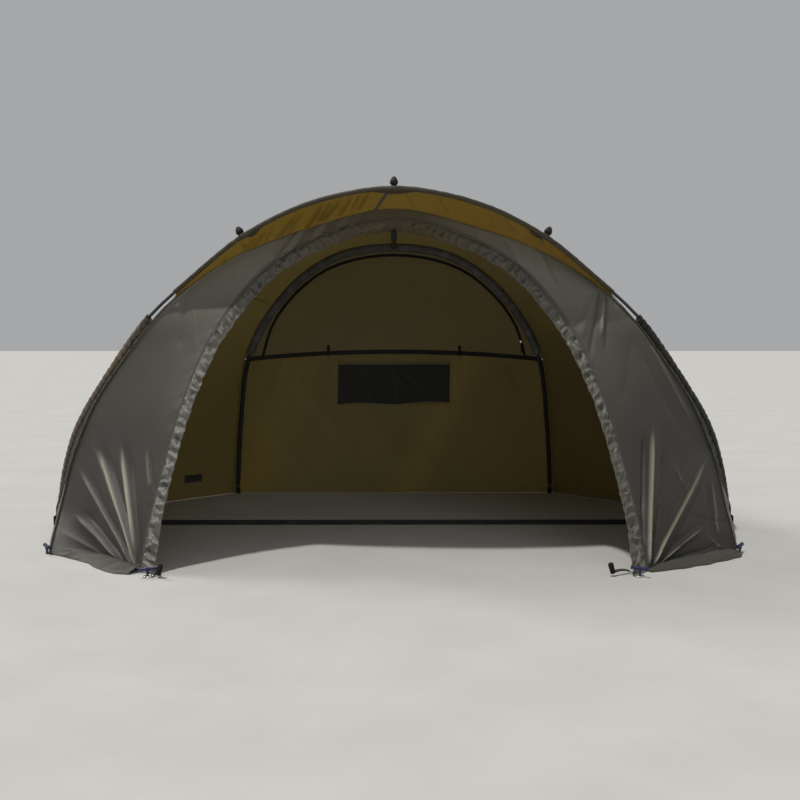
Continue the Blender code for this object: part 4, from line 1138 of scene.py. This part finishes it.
def make_leg_sleeve(side, sign, skin):
    """The gathered sleeve round the pole's lower leg, and the web that joins it to the fold."""
    first, last = (step / POLE_STEPS for step in SLEEVE_STEPS)
    line = pole_line(np.linspace(first, last, 260))
    fold = smooth_line(FOLD_LINE, half_shares(400))
    gaps = line[:, None] - fold[None]
    nearest = fold[np.argmin(np.linalg.norm(gaps, axis=2), axis=1)]
    way = nearest - line
    reach = np.minimum(0.040, np.linalg.norm(way, axis=1) * 0.72)
    across, out = frames_along(line, way)
    along = distances(line[:, None], 0)
    sides = 22
    angles = np.linspace(0.0, math.tau, sides, endpoint=False)
    slanted = along + 0.30 * (np.cos(angles)[None] * 0.02)
    drift = ripples(along / 0.11, 0.0, 5.0 + sign) * 0.030
    turns = (along + slanted - slanted.mean() + drift) * math.pi / SLEEVE_WRAP
    wraps = 1.0 - 2.0 * np.abs(np.sin(turns)) ** 0.7
    fine = 1.0 - np.abs(ring_noise(slanted / 0.026, 0.5, sides, 9.0 + sign)) * 3.4
    pleat = 0.75 * -wraps + 0.5 * fine
    ends = 1.0 - 0.55 * smooth_step(along, along[-1] - 0.05, along[-1])
    push = np.clip(pleat, -1.0, 1.0) * (0.0024 if sign < 0 else 0.0018) * ends
    middles = line + across * ((reach - 0.012) / 2)[:, None]
    wide = ((reach + 0.012) / 2)[:, None] + push
    deep = 0.0100 + push
    if sign < 0:
        line, middles, across, out, nearest = (mirrored(v) for v in (line, middles, across, out, nearest))
    name = f"{side}_gathered_sleeve"
    # The right sleeve has painted shade: the near-black copy of the cloth
    finish = sleeve_cloth if sign < 0 else painted_shade_sleeve_cloth
    made = rings(name, middles, across, out, wide, deep, finish, sides, (line, FRONT_BORE), push * 4.8)
    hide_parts(f"{side}_pole_sleeve")
    shares = np.linspace(0, 1, 7)[None]
    start = line + across * (reach - 0.003)[:, None]
    web = mix(start[:, None], (nearest - inward(nearest) * 0.002)[:, None], shares[..., None])
    raised = ripples(along / 0.024, shares, 4.0 + sign) * 0.0045
    # The web's near-black cloth is painted shade in the gap beside the fold
    both = (painted_shade_sleeve_cloth, painted_shade_sleeve_cloth)
    made, outer = cloth(f"{side}_sleeve_web", kept_over(web, skin, 0.0045), raised, both, 0.0012)
    declare(made, outer, "gathered", name, "shelter_skin")


def edge_reach(height):
    """Half the back wall's width at a height."""
    rows = 200
    outline = back_outline(rows)[rows:]
    return np.interp(height, outline[::-1, 1], outline[::-1, 0]) + 0.0015


def wall_sheet(name, flat, depth, finishes, relief=None, thickness=CLOTH, mask=None):
    """A sheet along the back wall and its outer face, which lies at a depth from the wall's outer plane."""
    outer = on_wall(flat, depth)
    flip = looks_away(outer, -WALL_IN)
    return shell(name, outer, outer + WALL_IN * thickness, finishes, flip, mask, flat, relief), outer


def make_lower_wall():
    """The wall under the hinge, with a hole from the window up to the hinge."""
    below = np.linspace(0.0008, WINDOW_LOW, 34)
    beside = np.linspace(WINDOW_LOW, WINDOW_HIGH, 16)[1:]
    above = np.linspace(0.0, 1.0, 7)[1:]
    levels = np.concatenate((below, beside, WINDOW_HIGH + above * (HINGE_MIDDLE - WINDOW_HIGH)))
    margin = np.linspace(0.0, 1.0, 52)[1:]
    centre = np.linspace(-1.0, 1.0, 61)
    columns = np.concatenate((-1.0 - margin[::-1], centre, 1.0 + margin))
    beyond = np.sign(columns) * np.maximum(np.abs(columns) - 1.0, 0.0)
    x = np.zeros((len(levels), len(columns)))
    height = np.zeros_like(x)
    for i, level in enumerate(levels):
        # Beside the window the rows start to bend, to end along the hinge
        bend = smooth_step((i - len(below)) / (len(beside) + len(above) - 1), 0.0, 1.0)
        reach = edge_reach(min(level, HINGE_MIDDLE) - HINGE_DROP * 1.07 * bend)
        x[i] = np.clip(columns, -1.0, 1.0) * WINDOW_X + beyond * (reach - WINDOW_X)
        top = hinge_height(x[i]) - 0.0002
        over = i - len(below) - len(beside)
        if over < 0:
            bent = mix(level, level - (HINGE_MIDDLE - top), bend)
            height[i] = np.where(np.abs(columns) <= 1.0, level, bent)
        else:
            height[i] = WINDOW_HIGH + above[over] * (top - WINDOW_HIGH)
    raised = ripples(x / 0.022, height / 0.22, 6.0) * 0.0020 * smooth_step(height, 0.50, 0.71)
    strip = smooth_step(height, WINDOW_HIGH + 0.002, WINDOW_HIGH + 0.02) * (np.abs(x) < WINDOW_X)
    raised += ripples(x / 0.011, height / 0.2, 8.0) * 0.0022 * strip
    raised += ripples(x / 0.42, height / 0.30, 1.5) * 0.004
    fall = (HINGE_MIDDLE - height) * np.clip(x - np.sign(x) * 0.15, -0.5, 0.5)
    hanging = 0.45 - np.abs(ripples((x - fall * 0.9) / 0.045, height / 0.40, 14.0)) * 2.0
    raised += hanging * 0.0050 * smooth_step(height, 0.25, 0.68)
    raised += ripples((x + height * 0.75) / 0.10, (height - x * 0.75) / 0.55, 25.0) * 0.0045
    loose = smooth_step(edge_reach(0.35) - np.abs(x), 0.0, 0.06) * smooth_step(height, 0.0, 0.03)
    raised = np.maximum(raised * loose - 0.0018, mix(-0.02, -0.0024, smooth_step(height, 0.62, 0.69)))
    mask = np.ones((len(levels) - 1, len(columns) - 1), bool)
    mask[len(below) - 1 : -1, len(margin) : len(margin) + len(centre) - 1] = False
    flat = np.stack((x, height), axis=-1)
    both = (skin_cloth, lower_wall_cloth)
    made, _ = wall_sheet("lower_wall", flat, -raised, both, raised - raised.mean(), mask=mask)
    declare(made, on_wall(flat), "hung", "hinge_tape", "back_pole")
    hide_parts("back_lower_wall")


def cut_at_hinge(half):
    return half[half[:, 1] > hinge_height(half[:, 0])]


def zip_half():
    """The right half of the zip's arc, as (x, height), down to the hinge."""
    half = smooth_line([(x, height, 0.0) for x, height in ZIP_LINE], np.linspace(0.0, 1.0, 400))
    return cut_at_hinge(half[:, :2])


def arch(half, rows):
    """A left-to-right arch of even steps from a right half."""
    line = spaced(np.column_stack((half, np.zeros(len(half)))), half_shares(rows))
    return whole(line)[:, :2]


def make_door_panel():
    """The D-shaped upper panel, inside the zip's arc."""
    top = arch(zip_half(), 90)[3:-3]
    x = np.linspace(top[0, 0], top[-1, 0], len(top))
    base = np.column_stack((x, hinge_height(x)))
    share = np.linspace(0.0, 1.0, 54)[None, :, None]
    flat = mix(base[:, None], top[:, None], share)
    x, height = flat[..., 0], flat[..., 1]
    raised = ripples((x * 0.6 - height) / 0.06, (x + height * 0.6) / 0.5, 21.0) * 0.0032
    raised += ripples(x / 0.35, height / 0.2, 4.4) * 0.005
    raised += ripples(x / 0.03, height / 0.2, 2.2) * 0.0016 * (1.0 - smooth_step(height, 0.74, 0.84))
    loose = smooth_step(share[..., 0], 0.0, 0.06) * (1.0 - smooth_step(share[..., 0], 0.93, 1.0))
    raised = raised * loose - 0.0018
    made, _ = wall_sheet("door_panel", flat, -raised, (skin_cloth, door_cloth), raised - raised.mean())
    declare(made, on_wall(flat), "stretched", "zip_arc", "hinge_tape")
    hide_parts("back_door_panel")


def make_arch_border():
    """The strip of wall between the zip's arc and the back pole."""
    inner = arch(zip_half(), 120)
    rows = 400
    centres, ways = back_pole_places(rows)
    outer = arch(cut_at_hinge((centres - ways * 0.0235)[rows:, :2]), 120)
    share = np.linspace(0.0, 1.0, 15)[None, :, None]
    flat = mix(inner[:, None], outer[:, None], share)
    raised = noise_at(flat, 0.09, 5.5) * 0.0012 * np.sin(share[..., 0] * math.pi) - 0.0018
    made, _ = wall_sheet("arch_border", flat, -raised, (skin_cloth, door_cloth), raised - raised.mean())
    declare(made, on_wall(flat), "stretched", "zip_arc", "back_pole")
    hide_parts("back_arch_border")


def make_window():
    """The netting on the wall's inner face, creased, with its lower edge slack."""
    x, share = np.meshgrid(np.linspace(-1.0, 1.0, 130), np.linspace(0.0, 1.0, 50), indexing="ij")
    sag = 0.010 + 0.006 * np.cos(x * 5.0) - 0.006 * x
    across = x * (WINDOW_X + 0.007) - 0.006 * (1.0 - share) * (x < 0) * x**2
    height = mix(WINDOW_LOW - sag, WINDOW_HIGH + 0.006, share)
    slack = np.sin(share * math.pi * 0.85 + 0.25) ** 0.7 * (1.0 - np.abs(x) ** 8)
    creases = np.zeros(x.shape)
    for x0, height0, x1, height1, width, tall in WINDOW_CREASES:
        along, aside = along_stroke(across, height, (x0, height0), (x1, height1))
        ends = smooth_step(along, -0.15, 0.15) * (1.0 - smooth_step(along, 0.8, 1.1))
        creases += tall * crest(aside / width) * ends
    fine = (0.6 - np.abs(ripples((across + height * 0.9) / 0.030, height / 0.12, 3.3)) * 2.6) * 0.0016
    depth = 0.0062 + slack * (0.0030 + creases + fine)
    flat = np.stack((across, height), axis=-1)
    made, outer = wall_sheet("window_netting", flat, depth, (netting, netting), creases, 0.0008)
    declare(made, outer, "hung", "lower_wall")
    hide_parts("mesh_window")


def make_window_strip():
    """The gathered strip of wall cloth between the hinge and the netting."""
    x, share = np.meshgrid(np.linspace(-1.0, 1.0, 260), np.linspace(0.0, 1.0, 12), indexing="ij")
    across, height = x * 0.280, mix(WINDOW_HIGH - 0.002, 0.7245, share)
    pleats = 0.55 - np.abs(ripples(across / 0.011 + height * 20.0, height / 0.10, 9.1)) * 2.4
    rise = pleats * 0.0040 * (0.5 + 0.5 * share)
    drop = smooth_step(share, 0.75, 1.0) * 0.0050
    depth = 0.0086 + rise * (1.0 - np.abs(x) ** 10) * (1.0 - share * 0.6) - drop
    flat = np.stack((across, height), axis=-1)
    made, outer = wall_sheet("window_strip", flat, depth, (skin_cloth, strip_cloth), rise, 0.0010)
    declare(made, outer, "gathered", "hinge_tape", "lower_wall")


def make_storm_flap():
    """The flap over the window on the wall's outer face."""
    x, height = np.meshgrid(np.linspace(-0.284, 0.284, 80), np.linspace(0.471, 0.686, 40), indexing="ij")
    fall = 1.0 - smooth_step(height, 0.65, 0.68)
    raised = 0.0010 + fall * (0.0012 + 0.0016 * ripples(x / 0.06, height / 0.3, 7.7))
    side_hems, foot_hem = smooth_step(np.abs(x), 0.268, 0.272), 1.0 - smooth_step(height, 0.483, 0.487)
    raised += 0.0009 * side_hems + 0.0009 * foot_hem
    flat = np.stack((x, height), axis=-1)
    made, outer = wall_sheet("storm_flap", flat, -raised - CLOTH, (skin_cloth, panel_inside))
    declare(made, outer, "hung", "lower_wall")
    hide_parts("window_storm_flap")


# Back pole, its sleeve and trim


def back_pole_places(rows):
    """Centres of the back pole along the outline, as (x, height), and the ways in."""
    line = back_outline(rows)
    along = np.gradient(line, axis=0)
    ways = unit(np.column_stack((along[:, 1], -along[:, 0], np.zeros(len(line)))))
    return line + ways * 0.022, ways


def in_wall(ways):
    """The same ways in the leaning wall's plane."""
    return ways[:, :1] * np.array((1.0, 0.0, 0.0)) + ways[:, 1:2] * WALL_UP


def make_back_pole_sleeve():
    """The back pole's gathered sleeve, from hinge end to hinge end."""
    centres, ways = back_pole_places(260)
    above = centres[:, 1] > hinge_height(centres[:, 0]) + 0.022
    line = on_wall(centres[above], BACK_POLE_DEPTH)
    across = unit(in_wall(ways[above]))
    out = np.cross(unit(np.gradient(line, axis=0)), across)
    pleat = ring_noise(distances(line[:, None], 0) / 0.030, 0.6, 18, 12.0)
    wide, deep = 0.0195 + pleat * 0.0016, 0.0112 + pleat * 0.0012
    made = rings("arch_sleeve", line, across, out, wide, deep, band_cloth, 18, (line, 0.0086), pleat * 0.012)
    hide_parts("back_pole_sleeve")


def make_back_leg_sleeves():
    """The dark sleeve round each leg of the back pole."""
    centres = back_pole_places(200)[0]
    for side, sign in SIDES:
        low, high = LEG_SLEEVE_SPAN
        lower = centres[(centres[:, 1] < high) & (centres[:, 1] > low) & (centres[:, 0] * sign > 0)]
        lower = spaced(lower[np.argsort(lower[:, 1])], np.linspace(0.0, 1.0, 160))
        line = on_wall(lower, BACK_POLE_DEPTH)
        across, out = frames_along(line, WALL_IN)
        pleat = ring_noise(distances(line[:, None], 0) / 0.04, 1.0, 16, 15.0 + sign) * 0.0009
        wide, deep = 0.0105 + pleat, 0.0118 + pleat
        name = f"{side}_back_leg_sleeve"
        made = rings(name, line, across, out, wide, deep, leg_cloth, 16, (line, 0.0084), pleat)


def make_zip():
    """The zip's coil over its tape, and its slider with a pull."""
    line = arch(zip_half(), 520)
    coil = tube("zip_coil", on_wall(line, 0.0082), 0.0026, black_plastic, ribs=(0.0042, 0.0010))
    near, ahead = (line[int(len(line) * share)] for share in (0.955, 0.945))
    way = unit(on_wall(ahead) - on_wall(near))
    centre = on_wall(near, 0.0115)
    ways = (np.cross(WALL_IN, way), way, WALL_IN)
    body = box_piece("slider_body", centre, ways, (0.013, 0.022, 0.008), bright_steel, 0.3)
    steps = ((-0.007, 0.004), (-0.004, 0.0085), (0.004, 0.0085), (0.007, 0.004))
    bridge = np.array([centre + way * along + WALL_IN * rise for along, rise in steps])
    loop = tube("slider_bridge", spaced(bridge, np.linspace(0, 1, 14)), 0.0013, bright_steel)
    hanging = centre + WALL_IN * 0.0075 - UP * np.linspace(0.0, 0.052, 10)[:, None]
    pull = ribbon("slider_pull", hanging, WALL_IN, 0.008, 0.0022, black_webbing, 0.0006)
    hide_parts("zip_slider")


def make_toggles():
    """An elastic loop and barrel at each place where the rolled door panel is tied."""
    barrel = (
        (0.0, 0.0), (0.0056, 0.0), (0.0072, 0.004), (0.0066, 0.012), (0.0066, 0.032), (0.0072, 0.040),
        (0.0056, 0.044), (0.0, 0.044),
    )
    for side, sign in SIDES:
        x = sign * TOGGLE_X
        height = hinge_height(x)
        made = lathe(f"{side}_barrel", barrel, on_wall((x, height - 0.004), 0.0125), WALL_UP, black_plastic)
        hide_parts(f"{side}_door_toggle")
        share = np.linspace(0.0, 1.0, 24)
        hang = np.column_stack((x + 0.004 * np.sin(share * math.pi) * sign, height + 0.012 - 0.034 * share))
        tube(f"{side}_elastic_tie", on_wall(hang, 0.0105), 0.0022, black_webbing)


def make_seams(skin, front, rim):
    """Tapes over the seams of roof, fold and front, the roof's cord, and the rim's and back wall's edging."""

    def tape(name, line, up, width, thickness=0.0009):
        ribbon(name, line, up, width, thickness, seam_tape, 0.0003, 2)

    normals = surface_normals(skin)[0]
    pinch = round(SKIN_ROWS * HEADER_SHARE)
    for name, step in (("left_roof_seam", -pinch), ("right_roof_seam", pinch), ("ridge_seam", 0)):
        up = normals[SKIN_ROWS + step, 1:-1]
        tape(name, skin[SKIN_ROWS + step, 1:-1] + up * 0.0002, up, 0.0045)
    cross = round(SKIN_COLUMNS * 0.83)
    across_roof = np.abs(skin[:, cross, 0]) < 0.30
    cord = skin[across_roof, cross] - normals[across_roof, cross] * 0.0052
    tube("roof_cross_cord", cord, 0.0030, black_webbing)
    fold = fold_line(300)
    up = -inward(fold)
    tape("fold_seam", fold + up * 0.0004, up, 0.005, 0.0012)
    front_normals = surface_normals(front)[0]
    from_edge = distances(front[:, ::-1], 1)
    rows = np.arange(len(front))[2:-2]
    steps = np.arange(FRONT_COLUMNS + 1)
    for name, place, width in (("rim_seam", 0.0022, 0.0060), ("facing_seam", 0.011, 0.0030)):
        columns = FRONT_COLUMNS - np.array([np.interp(place, from_edge[row], steps) for row in rows])
        up = unit(grid_at(front_normals, rows, columns))
        tape(name, grid_at(front, rows, columns) + up * 0.0003, up, width)
    up = surface_normals(rim)[0][2:-2, -1]
    binding = rim[2:-2, -1] + up * 0.0001
    ribbon("rim_edge_binding", binding, up, 0.007, 0.0012, rim_cloth, 0.0006)
    rows = 240
    edge = on_wall(back_outline(rows), 0.0002) - in_wall(back_pole_places(rows)[1]) * 0.0004
    tube("back_edge_piping", edge[2:-2], 0.0030, sleeve_cloth)


def make_dark_ridge_strip(peak):
    """A flat dark strip under the peak, from its hem to the fold beside the ridge."""
    share = np.linspace(0.0, 1.0, 40)
    rows, columns = PEAK_ROWS - mix(6.5, 18.5, share), PEAK_COLUMNS - mix(3.5, 26.5, share)
    up = -unit(grid_at(surface_normals(peak)[0], rows, columns))
    under = grid_at(peak, rows, columns) + up * (CLOTH + 0.0035)
    line, down = mix(under[0], under[-1], share[:, None]), unit(up.mean(axis=0))
    line = line + down * np.max((under - line) @ down)
    ribbon("dark_ridge_strip", line, up, 0.011, 0.0014, black_webbing, 0.0004)


def make_rim_tails(side, sign):
    """The elastic's end at each foot of the opening: a short tape with a cord lock on it."""
    end = np.array((sign * 0.815, RIM_FOOT_Y + 0.012, 0.008))
    lock = np.array((0.748, -1.012, 0.0135) if sign > 0 else (-0.800, -1.030, 0.0135))
    share = np.linspace(0.0, 1.0, 20)[:, None]
    tail = mix(end, lock, share) + UP * (0.006 * np.sin(share * math.pi))
    tape = ribbon(f"{side}_rim_tail", tail, (0.0, -0.5, 0.87), 0.012, 0.0016, black_webbing, 0.0004)
    barrel = (
        (0.0, 0.0), (0.0078, 0.0), (0.0100, 0.003), (0.0092, 0.012), (0.0092, 0.024), (0.0100, 0.033),
        (0.0070, 0.038), (0.0, 0.0385),
    )
    way = unit(np.array((-0.30 * sign, -0.25, 0.92)))
    lathe(f"{side}_rim_lock", barrel, lock - way * 0.002, way, black_plastic)


def make_wall_patch(skin):
    """The bare patch low on the inner left wall, laid on the cloth with a raised border."""
    solid = bpy.data.objects["wall_patch"].data
    corners = np.array([corner.co for corner in solid.vertices]) - HUB_LINE
    middle = corners.mean(axis=0)
    long, short, _ = np.linalg.svd(corners - middle)[2]
    length, width = (np.ptp((corners - middle) @ way) for way in (long, short))
    u, v = np.meshgrid(np.linspace(-0.5, 0.5, 21), np.linspace(-0.5, 0.5, 13), indexing="ij")
    grid = middle + u[..., None] * long * length + v[..., None] * short * width
    places, outs = skin.reshape(-1, 3), surface_normals(skin)[0].reshape(-1, 3)
    for i, j in np.ndindex(u.shape):
        near = nearest_of(places, grid[i, j])
        grid[i, j] += outs[near] * (np.dot(places[near] - grid[i, j], outs[near]) - CLOTH - 0.0006)
    edge = np.minimum(0.5 - np.abs(u), (0.5 - np.abs(v)) * width / length) * length
    lip = 0.0010 * (1.0 - smooth_step(edge, 0.003, 0.005))
    back = inward(grid)
    outer = grid + back * (0.0011 + lip)[..., None]
    flip = looks_away(outer, back[0, 0])
    # lip * 12 gives the raised border a painted highlight
    made = shell("wall_patch_cloth", outer, grid, (patch_cloth, patch_cloth), flip, relief=lip * 12.0)
    declare(made, outer, "stretched", "shelter_skin")
    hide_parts("wall_patch")


def make_patches(peak):
    """Doubled cloth under the three knobs."""
    normals = surface_normals(peak)[0]
    places = {"ridge": (0, 22, 6), "left": (-140, 11, 8), "right": (140, 11, 8)}
    for name, (step, half, depth) in places.items():
        row = PEAK_ROWS + step
        rows = slice(row - half, row + half + 1)
        part, up = peak[rows, -depth:], normals[rows, -depth:]
        share = np.linspace(0.0, 1.0, depth)[None, :, None]
        part = mix(part[half : half + 1], part, 0.15 + 0.85 * share)
        outer = part - up * (CLOTH + 0.0024)
        flip = looks_away(outer, up[0, 0])
        made = shell(f"{name}_knob_patch", outer, outer - up * 0.0009, (patch_brown, patch_brown), flip)
        declare(made, outer, "stretched", "peak_cloth")


def make_ground_fittings():
    """Pegs, rings and tabs at ground level."""
    reach = PEG_RADIUS + PLAY
    diagonal = 0.7071
    pegs = {
        "front": (FRONT_PEG, (0.8, -0.6)),
        "corner": ((1.300 + reach * 0.8, -0.62 - reach * 0.6), (0.5, 0.866)),
        "back": ((FOOT_HALF + reach * diagonal, WALL_FOOT_Y + reach * diagonal), (diagonal, -diagonal)),
    }
    post = (
        (0.0, 0.0), (0.0043, 0.0), (0.0043, 0.016), (0.0060, 0.019), (0.0072, 0.024), (0.0060, 0.034),
        (0.0, 0.036),
    )
    share = np.linspace(0.0, 1.0, 33)
    bulge = 0.0056 + 0.0009 * np.cos(share * 16 * math.pi) + 0.0008 * np.abs(2 * share - 1) ** 4
    grip = [(0.0, -0.0012), (0.0042, -0.0010), *zip(bulge, 0.064 * share), (0.0042, 0.0650), (0.0, 0.0652)]
    arc = np.linspace(0, 1, 12)[:, None]
    for side, sign in SIDES:
        for where, ((x, y), (way_x, way_y)) in pegs.items():
            foot = np.array((sign * x, y, 0.0))
            way = unit(np.array((sign * way_x, way_y, 0.0)))
            name = f"{side}_{where}_peg"
            made = lathe(f"{name}_post", post, foot, UP, blue_plastic)
            bar = lathe(f"{name}_grip", grip, foot + UP * 0.030 - way * 0.032, way, blue_plastic)
            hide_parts(name)
        peg = np.array((sign * FRONT_PEG[0], FRONT_PEG[1], 0.0))
        way = unit(np.array((sign * FOOT_HALF, RIM_FOOT_Y, 0.0)) - peg)
        centre = peg + way * (RING_RADIUS - WIRE_RADIUS - PEG_RADIUS - PLAY) + UP * 0.0028
        made = hoop(f"{side}_ring", centre, RING_RADIUS, WIRE_RADIUS, bright_steel)
        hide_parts(f"{side}_peg_ring")
        tab = centre + way * (0.0155 + 0.030 * arc) + UP * (0.0008 + 0.004 * np.sin(math.pi * arc))
        made = ribbon(f"{side}_tab", tab, UP, 0.021, 0.0018, black_webbing, 0.0006)
        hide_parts(f"{side}_peg_tab")


def hoop(name, centre, radius, wire, finish):
    """A level ring of wire."""
    count, sides = 64, 10
    turn = np.linspace(0.0, math.tau, count, endpoint=False)
    out = np.stack((np.cos(turn), np.sin(turn), np.zeros(count)), axis=1)
    angles = np.linspace(0.0, math.tau, sides, endpoint=False)[None, :, None]
    rows = (centre + radius * out)[:, None] + wire * (out[:, None] * np.cos(angles) + UP * np.sin(angles))
    quads = grid_quads(count + 1, sides, True)[:, [0, 3, 2, 1]] % (count * sides)
    return add_mesh(name, rows.reshape(-1, 3), quads.tolist(), (finish,))


def repaint(node, finish):
    """Gives a CAD node that stays its material."""
    piece = bpy.data.objects[node]
    for place in piece.material_slots:
        place.material = finish


def make_stage():
    """The pale floor."""
    graph = Graph("pale_floor")
    speck = graph.range(graph.noise(3.0, 4.0), 0.35, 0.65)
    pale = graph.blend(speck, (0.43, 0.425, 0.41), (0.46, 0.455, 0.44))
    half = 40.0
    corners = [(-half, -half, 0), (half, -half, 0), (half, half, 0), (-half, half, 0)]
    mesh = bpy.data.meshes.new("floor")
    mesh.from_pydata(corners, [], [(0, 1, 2, 3)])
    mesh.materials.append(graph.finish(Base_Color=pale, Roughness=0.85))
    floor = bpy.data.objects.new("floor", mesh)
    bpy.context.scene.collection.objects.link(floor)


def add_sun(name, way, strength, softness, colour):
    """A far lamp: way points from the shelter to it."""
    lamp = bpy.data.lights.new(name, "SUN")
    lamp.energy = strength
    lamp.angle = softness
    lamp.color = colour
    made = bpy.data.objects.new(name, lamp)
    made.rotation_euler = (-Vector(way)).to_track_quat("-Z", "Y").to_euler()
    bpy.context.scene.collection.objects.link(made)


def make_view():
    scene = bpy.context.scene
    lens = bpy.data.cameras.new("photo_camera")
    lens.lens = CAMERA_LENS
    lens.sensor_width = SENSOR
    lens.clip_end = 200.0
    camera = bpy.data.objects.new("photo_camera", lens)
    camera.location = CAMERA_PLACE + HUB_LINE
    camera.rotation_euler = CAMERA_TURN
    scene.collection.objects.link(camera)
    scene.camera = camera
    world = bpy.data.worlds.new("studio")
    world.use_nodes = True
    sky = world.node_tree.nodes["Background"]
    sky.inputs["Color"].default_value = (0.86, 0.88, 0.90, 1.0)
    sky.inputs["Strength"].default_value = 0.44
    scene.world = world
    scene.view_settings.view_transform = "Standard"
    add_sun("key", (-0.26, -0.20, 0.945), 2.3, 0.06, (1.0, 0.97, 0.91))
    add_sun("fill", (0.25, -0.90, 0.35), 0.28, 0.60, (0.92, 0.96, 1.0))
    add_sun("side", (-0.62, 0.42, 0.66), 1.1, 0.40, (1.0, 0.98, 0.94))


make_view()
make_stage()
skin_grid = make_skin()
front_surface = make_front()
rim_grid = make_rim()
peak_grid = make_peak()
make_peak_hem()
for side, sign in SIDES:
    make_leg_sleeve(side, sign, skin_grid)
make_lower_wall()
make_window_strip()
make_door_panel()
make_arch_border()
make_window()
make_storm_flap()
make_back_pole_sleeve()
make_back_leg_sleeves()
make_zip()
make_toggles()
make_seams(skin_grid, front_surface, rim_grid)
make_dark_ridge_strip(peak_grid)
make_wall_patch(skin_grid)
for side, sign in SIDES:
    make_ground_skirt(side, sign, front_surface)
    make_rim_tails(side, sign)
make_patches(peak_grid)
make_ground_fittings()

CAD_FINISHES = {
    pole_metal: ("front_pole", "back_pole", "roof_tension_bar"),
    black_plastic: (
        "tension_bar_block", "left_hub", "right_hub", "left_back_foot", "right_back_foot", "ridge_knob",
        "left_knob", "right_knob",
    ),
    solid_webbing: ("hinge_tape", "zip_arc", "ground_strap"),
}
for finish, nodes in CAD_FINISHES.items():
    for node in nodes:
        repaint(node, finish)
